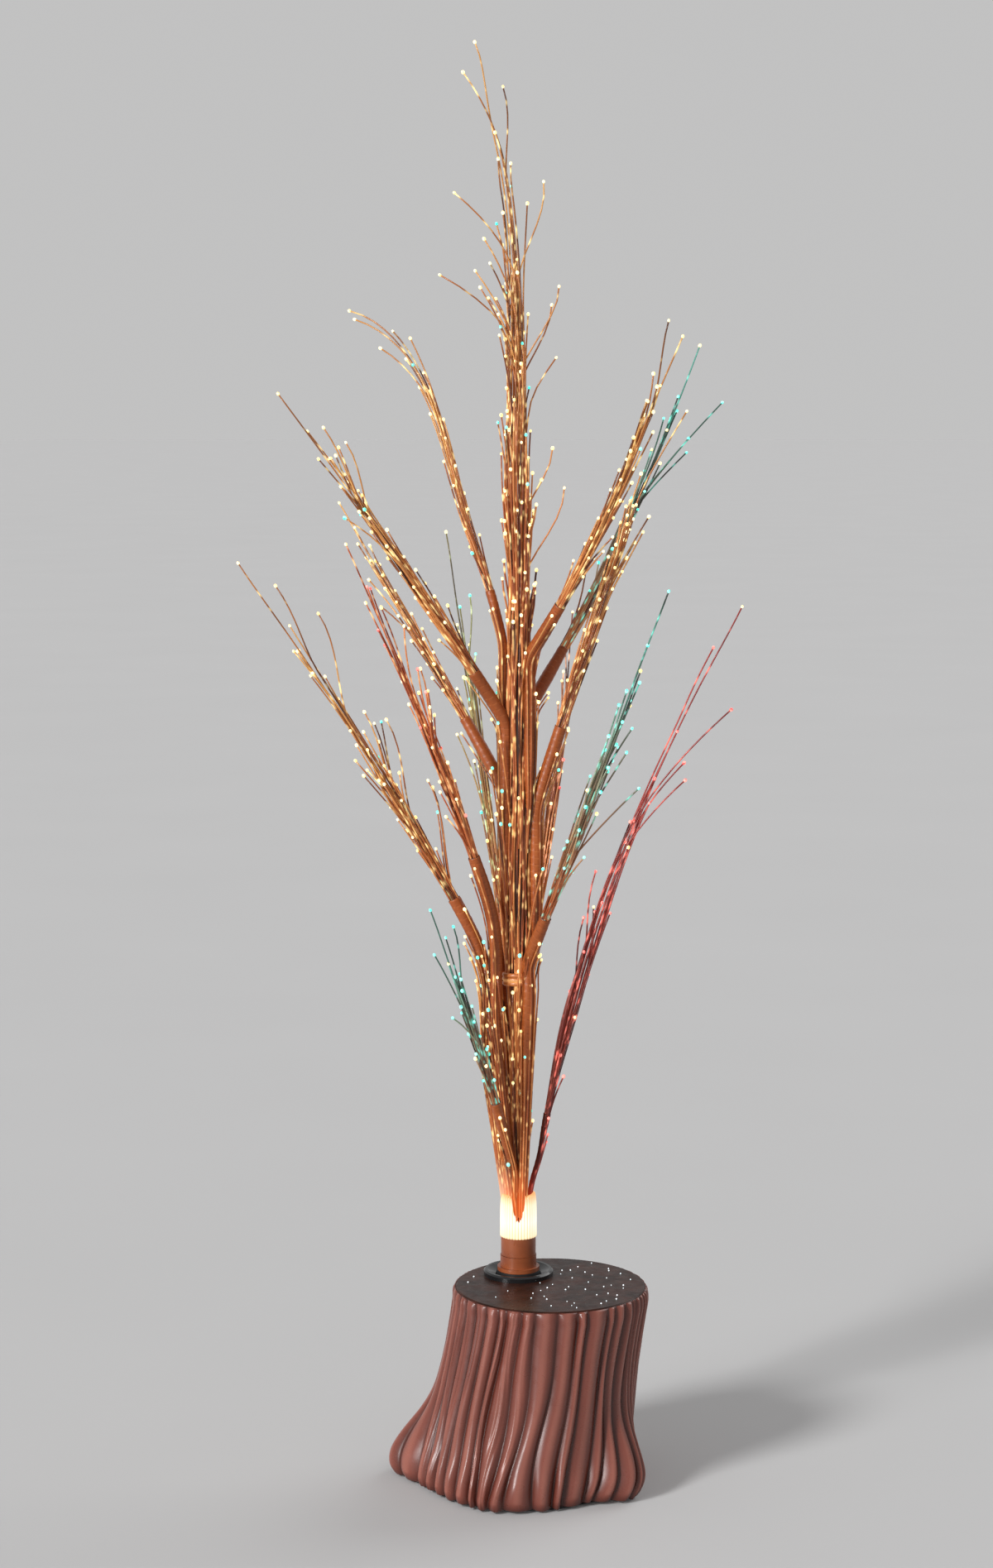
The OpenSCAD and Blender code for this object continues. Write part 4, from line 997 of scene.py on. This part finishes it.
def stem(name, arc, look, length, mouth_r, thick, strands):
    """A taped bundle that runs up beside the trunk, then bends out into its branch."""
    low = name in LOW_RUNS
    low_run_z, run_len, least_run, corner_drop = 166 * MM, 130 * MM, 8 * MM, 26 * MM
    fans_over, mouth_len, lip, full_r = 38 * MM, 25 * MM, 0.6 * MM, 3.9 * MM
    upright = min(max(13.5 - 8.5 * math.tan(arc.lean_foot), 8.5), 12.0)
    beside, joins, aside = LOW_RUNS.get(name, (upright, 0, 0))
    beside, joins, aside = beside * MM, joins * MM, math.radians(aside)
    low_z = low_run_z if low else arc.foot[2] - run_len
    corner_z = max(low_z + least_run, arc.foot[2] - corner_drop - 1.1 * joins)
    climb = np.linspace(0, 1, 26)[:-1, None]
    fan = climb if low else smooth(climb * (corner_z - low_z) / fans_over)
    starts = BUNDLE_OUT_R * (math.cos(aside) * arc.out + math.sin(aside) * arc.sideways)
    rising = (low_z + (corner_z - low_z) * climb) * UP
    beside_trunk = TRUNK + starts + (beside * arc.out - starts) * fan + rising
    corner = TRUNK + beside * arc.out + corner_z * UP
    joint = arc.point(joins)
    pull = 0.45 * np.linalg.norm(joint - corner)
    rise = unit(beside_trunk[-1] - beside_trunk[-3])
    t = np.linspace(0, 1, 14)[:-1, None]
    a, b = corner + pull * rise, joint - pull * arc.way(joins)
    turn_out = (1 - t) ** 3 * corner + 3 * t * (1 - t) ** 2 * a + 3 * t * t * (1 - t) * b + t ** 3 * joint
    beyond = [arc.point(s) for s in np.linspace(joins, length - 1.5 * MM, 18)]
    path = evened(np.concatenate([beside_trunk, turn_out, beyond]), TAPE_PITCH / 6)
    run = lengths(path)
    thin_foot, filling = (0.6, 140 * MM) if low else (0.3, 70 * MM)
    radius = full_r * thick * (thin_foot + (1 - thin_foot) * smooth(run / filling))
    radius += (mouth_r + lip - radius) * smooth((run - run[-1] + mouth_len) / mouth_len)
    angle = TURN * np.arange(TAPE_CORNERS) / TAPE_CORNERS
    wrap = (run[:, None] / TAPE_PITCH + angle / TURN + rng.random()) % 1
    lobes = 0.05 * np.sin(7 * angle + 40 * run[:, None])
    points, faces = tube(path, radius[:, None] * (1 + lobes) + TAPE_LIP * wrap, TAPE_CORNERS)
    # The stem's end cap is the dark core: painted shade.
    kinds = [0] * (len(faces) - 1) + [1]
    tape = RED_TAPE if look == "red" else STEM_TAPE
    # The wrap value paints the tape: painted shade under each turn's edge and a painted highlight along it.
    values = {"crest": wrap.reshape(-1)}
    made = new_object(name + "_sleeve", points, faces, [tape, BUNDLE_SHADE], kinds, values)
    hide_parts(name + "_stem")
    for piece in (made, *stem_strands(name, arc, path, radius, look, strands)):
        arc.point(BEND_RISE)
        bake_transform(piece)


def branches():
    spacing, full_mouth_r, mouth_share, overlap = 0.62 * MM, 3.3 * MM, 0.8, 10 * MM
    for name, row in BRANCHES.items():
        lean_foot, lean_tip, length, look, fibres, thick, stem_mm, strands = row
        joint = joint_of[name]
        bearing = math.atan2(-joint["axis"][0], joint["axis"][1])
        arc = Arc(joint["pos_m"], bearing, lean_foot, lean_tip, length, BOWED.get(name, 0.0))
        bundle_r = spacing * math.sqrt(fibres) * LOOSE.get(name, 1.0)
        mouth_r = min(full_mouth_r * thick, mouth_share * bundle_r)
        stem(name, arc, look, stem_mm * MM, mouth_r, thick, strands)
        made = spray(name, name, arc, stem_mm * MM - overlap, fibres, bundle_r, look, mouth_r)
        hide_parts(name + "_fibers")


def leader():
    sunk, lean_tip, fibres, bundle_r, mouth_r = 8 * MM, 11, 90, 7.4 * MM, 6.0 * MM
    lead_reach, lead_power = 1.3, 1.7
    foot = TRUNK + (TRUNK_TOP - sunk) * UP
    arc = Arc(foot, math.pi, 0, lean_tip, LEADER_LEN + sunk, BOWED["leader"])
    made = spray("leader", "tree", arc, 0.0, fibres, bundle_r, "gold", mouth_r, lead_reach, lead_power)
    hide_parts("leader_fibers")


# CAD nodes that stay, with better materials

def dress_nodes():
    dressed = [
        (plate_material(), "stump_top"),
        (plastic_material("black_gloss", (0.006, 0.006, 0.007), (0.014, 0.014, 0.015), 0.16, 300),
         "socket_bezel switch_body switch_rocker"),
        (plastic_material("black_matte", (0.010, 0.010, 0.011), (0.022, 0.022, 0.023), 0.55),
         "trunk_socket cord_gland gland_nut wheel_frame"),
        (plastic_material("brown_matte", (0.050, 0.020, 0.013), (0.085, 0.036, 0.025), 0.5),
         "base_plate rear_panel"),
        (plastic_material("rubber_foot", (0.012, 0.012, 0.012), (0.025, 0.025, 0.025), 0.75, 900, 0.0003),
         "foot_ring"),
        (plastic_material("ferrule_brown", (0.20, 0.044, 0.014), (0.36, 0.098, 0.032), 0.30, 260),
         "turn_sleeve trunk_ferrule"),
        (metal_material("steel", (0.42, 0.42, 0.44), (0.66, 0.66, 0.68), 0.3),
         "tie_rods tie_nuts lamp_bracket motor_can motor_bracket motor_screws motor_shaft"),
        (metal_material("zinc_cast", (0.36, 0.36, 0.38), (0.52, 0.52, 0.54), 0.48, (1, 1, 1)),
         "motor_gearbox"),
        (plastic_material("ceramic_holder", (0.70, 0.66, 0.58), (0.82, 0.79, 0.72), 0.45), "lamp_holder"),
        (metal_material("reflector", (0.72, 0.74, 0.78), (0.86, 0.87, 0.90), 0.12, (1, 1, 1)),
         "lamp_reflector"),
        (tint_material("lamp_glass", (0.92, 0.92, 0.90)), "lamp_capsule"),
        (plastic_material("lead_red", (0.28, 0.02, 0.015), (0.42, 0.04, 0.03), 0.5), "lead_lamp"),
        (plastic_material("lead_blue", (0.015, 0.03, 0.20), (0.03, 0.06, 0.34), 0.5), "lead_motor"),
        (tint_material("amber_panel", (1.0, 0.50, 0.06)), "panel_amber"),
        (tint_material("red_panel", (0.80, 0.03, 0.02)), "panel_red"),
        (tint_material("teal_panel", (0.03, 0.52, 0.46)), "panel_teal"),
    ]
    for material, names in dressed:
        for name in names.split():
            nodes[name].data.materials.clear()
            nodes[name].data.materials.append(material)


# Studio

def camera():
    data = bpy.data.cameras.new("camera")
    data.lens, data.sensor_width = LENS, SENSOR
    made = add_object("camera", data)
    made.location = CAMERA_PLACE
    made.rotation_euler = (math.pi / 2 - CAMERA_PITCH, 0, 0)
    bpy.context.scene.camera = made


def floor():
    reach = 40.0
    corners = [(-reach, -reach, 0), (reach, -reach, 0), (reach, reach, 0), (-reach, reach, 0)]
    look = Shader("floor", roughness=0.9)
    look.put("Base Color", look.patchy(look.noise(scale=3), (0.615, 0.612, 0.61), (0.625, 0.622, 0.62)))
    look.put("Specular IOR Level", 0.1)
    made = new_object("floor", corners, [[0, 1, 2, 3]], [look.material])


def world():
    """Even pale light, seen by the camera and by glossy and clear surfaces as the floor's own grey."""
    made = bpy.data.worlds.new("studio")
    bpy.context.scene.world = made
    made.use_nodes = True
    parts, join = made.node_tree.nodes, made.node_tree.links.new
    lighting, shown = parts["Background"], parts.new("ShaderNodeBackground")
    lighting.inputs["Color"].default_value = STUDIO_LIGHT
    shown.inputs["Color"].default_value = SHOWN_GREY
    path = parts.new("ShaderNodeLightPath")
    seen = path.outputs["Is Camera Ray"]
    for other in ("Is Glossy Ray", "Is Transmission Ray"):
        either = parts.new("ShaderNodeMath")
        either.operation = "MAXIMUM"
        join(seen, either.inputs[0])
        join(path.outputs[other], either.inputs[1])
        seen = either.outputs[0]
    mixed = parts.new("ShaderNodeMixShader")
    for output, socket in zip((seen, lighting.outputs[0], shown.outputs[0]), mixed.inputs):
        join(output, socket)
    join(mixed.outputs[0], parts["World Output"].inputs["Surface"])


def lamps():
    for name, (place, strength, wide) in LAMPS.items():
        light = bpy.data.lights.new(name, "SUN")
        light.energy, light.angle = strength, wide
        made = add_object(name, light)
        made.location = place
        tilt = math.atan2(math.hypot(place[0], place[1]), place[2] - LAMP_AIM_Z)
        made.rotation_euler = (tilt, 0, math.atan2(place[0], -place[1]))


bpy.context.scene.view_settings.view_transform = "Standard"
camera()
floor()
world()
lamps()
stump()
plate_glints()
trunk()
tape_ring()
collar()
leader()
branches()
dress_nodes()
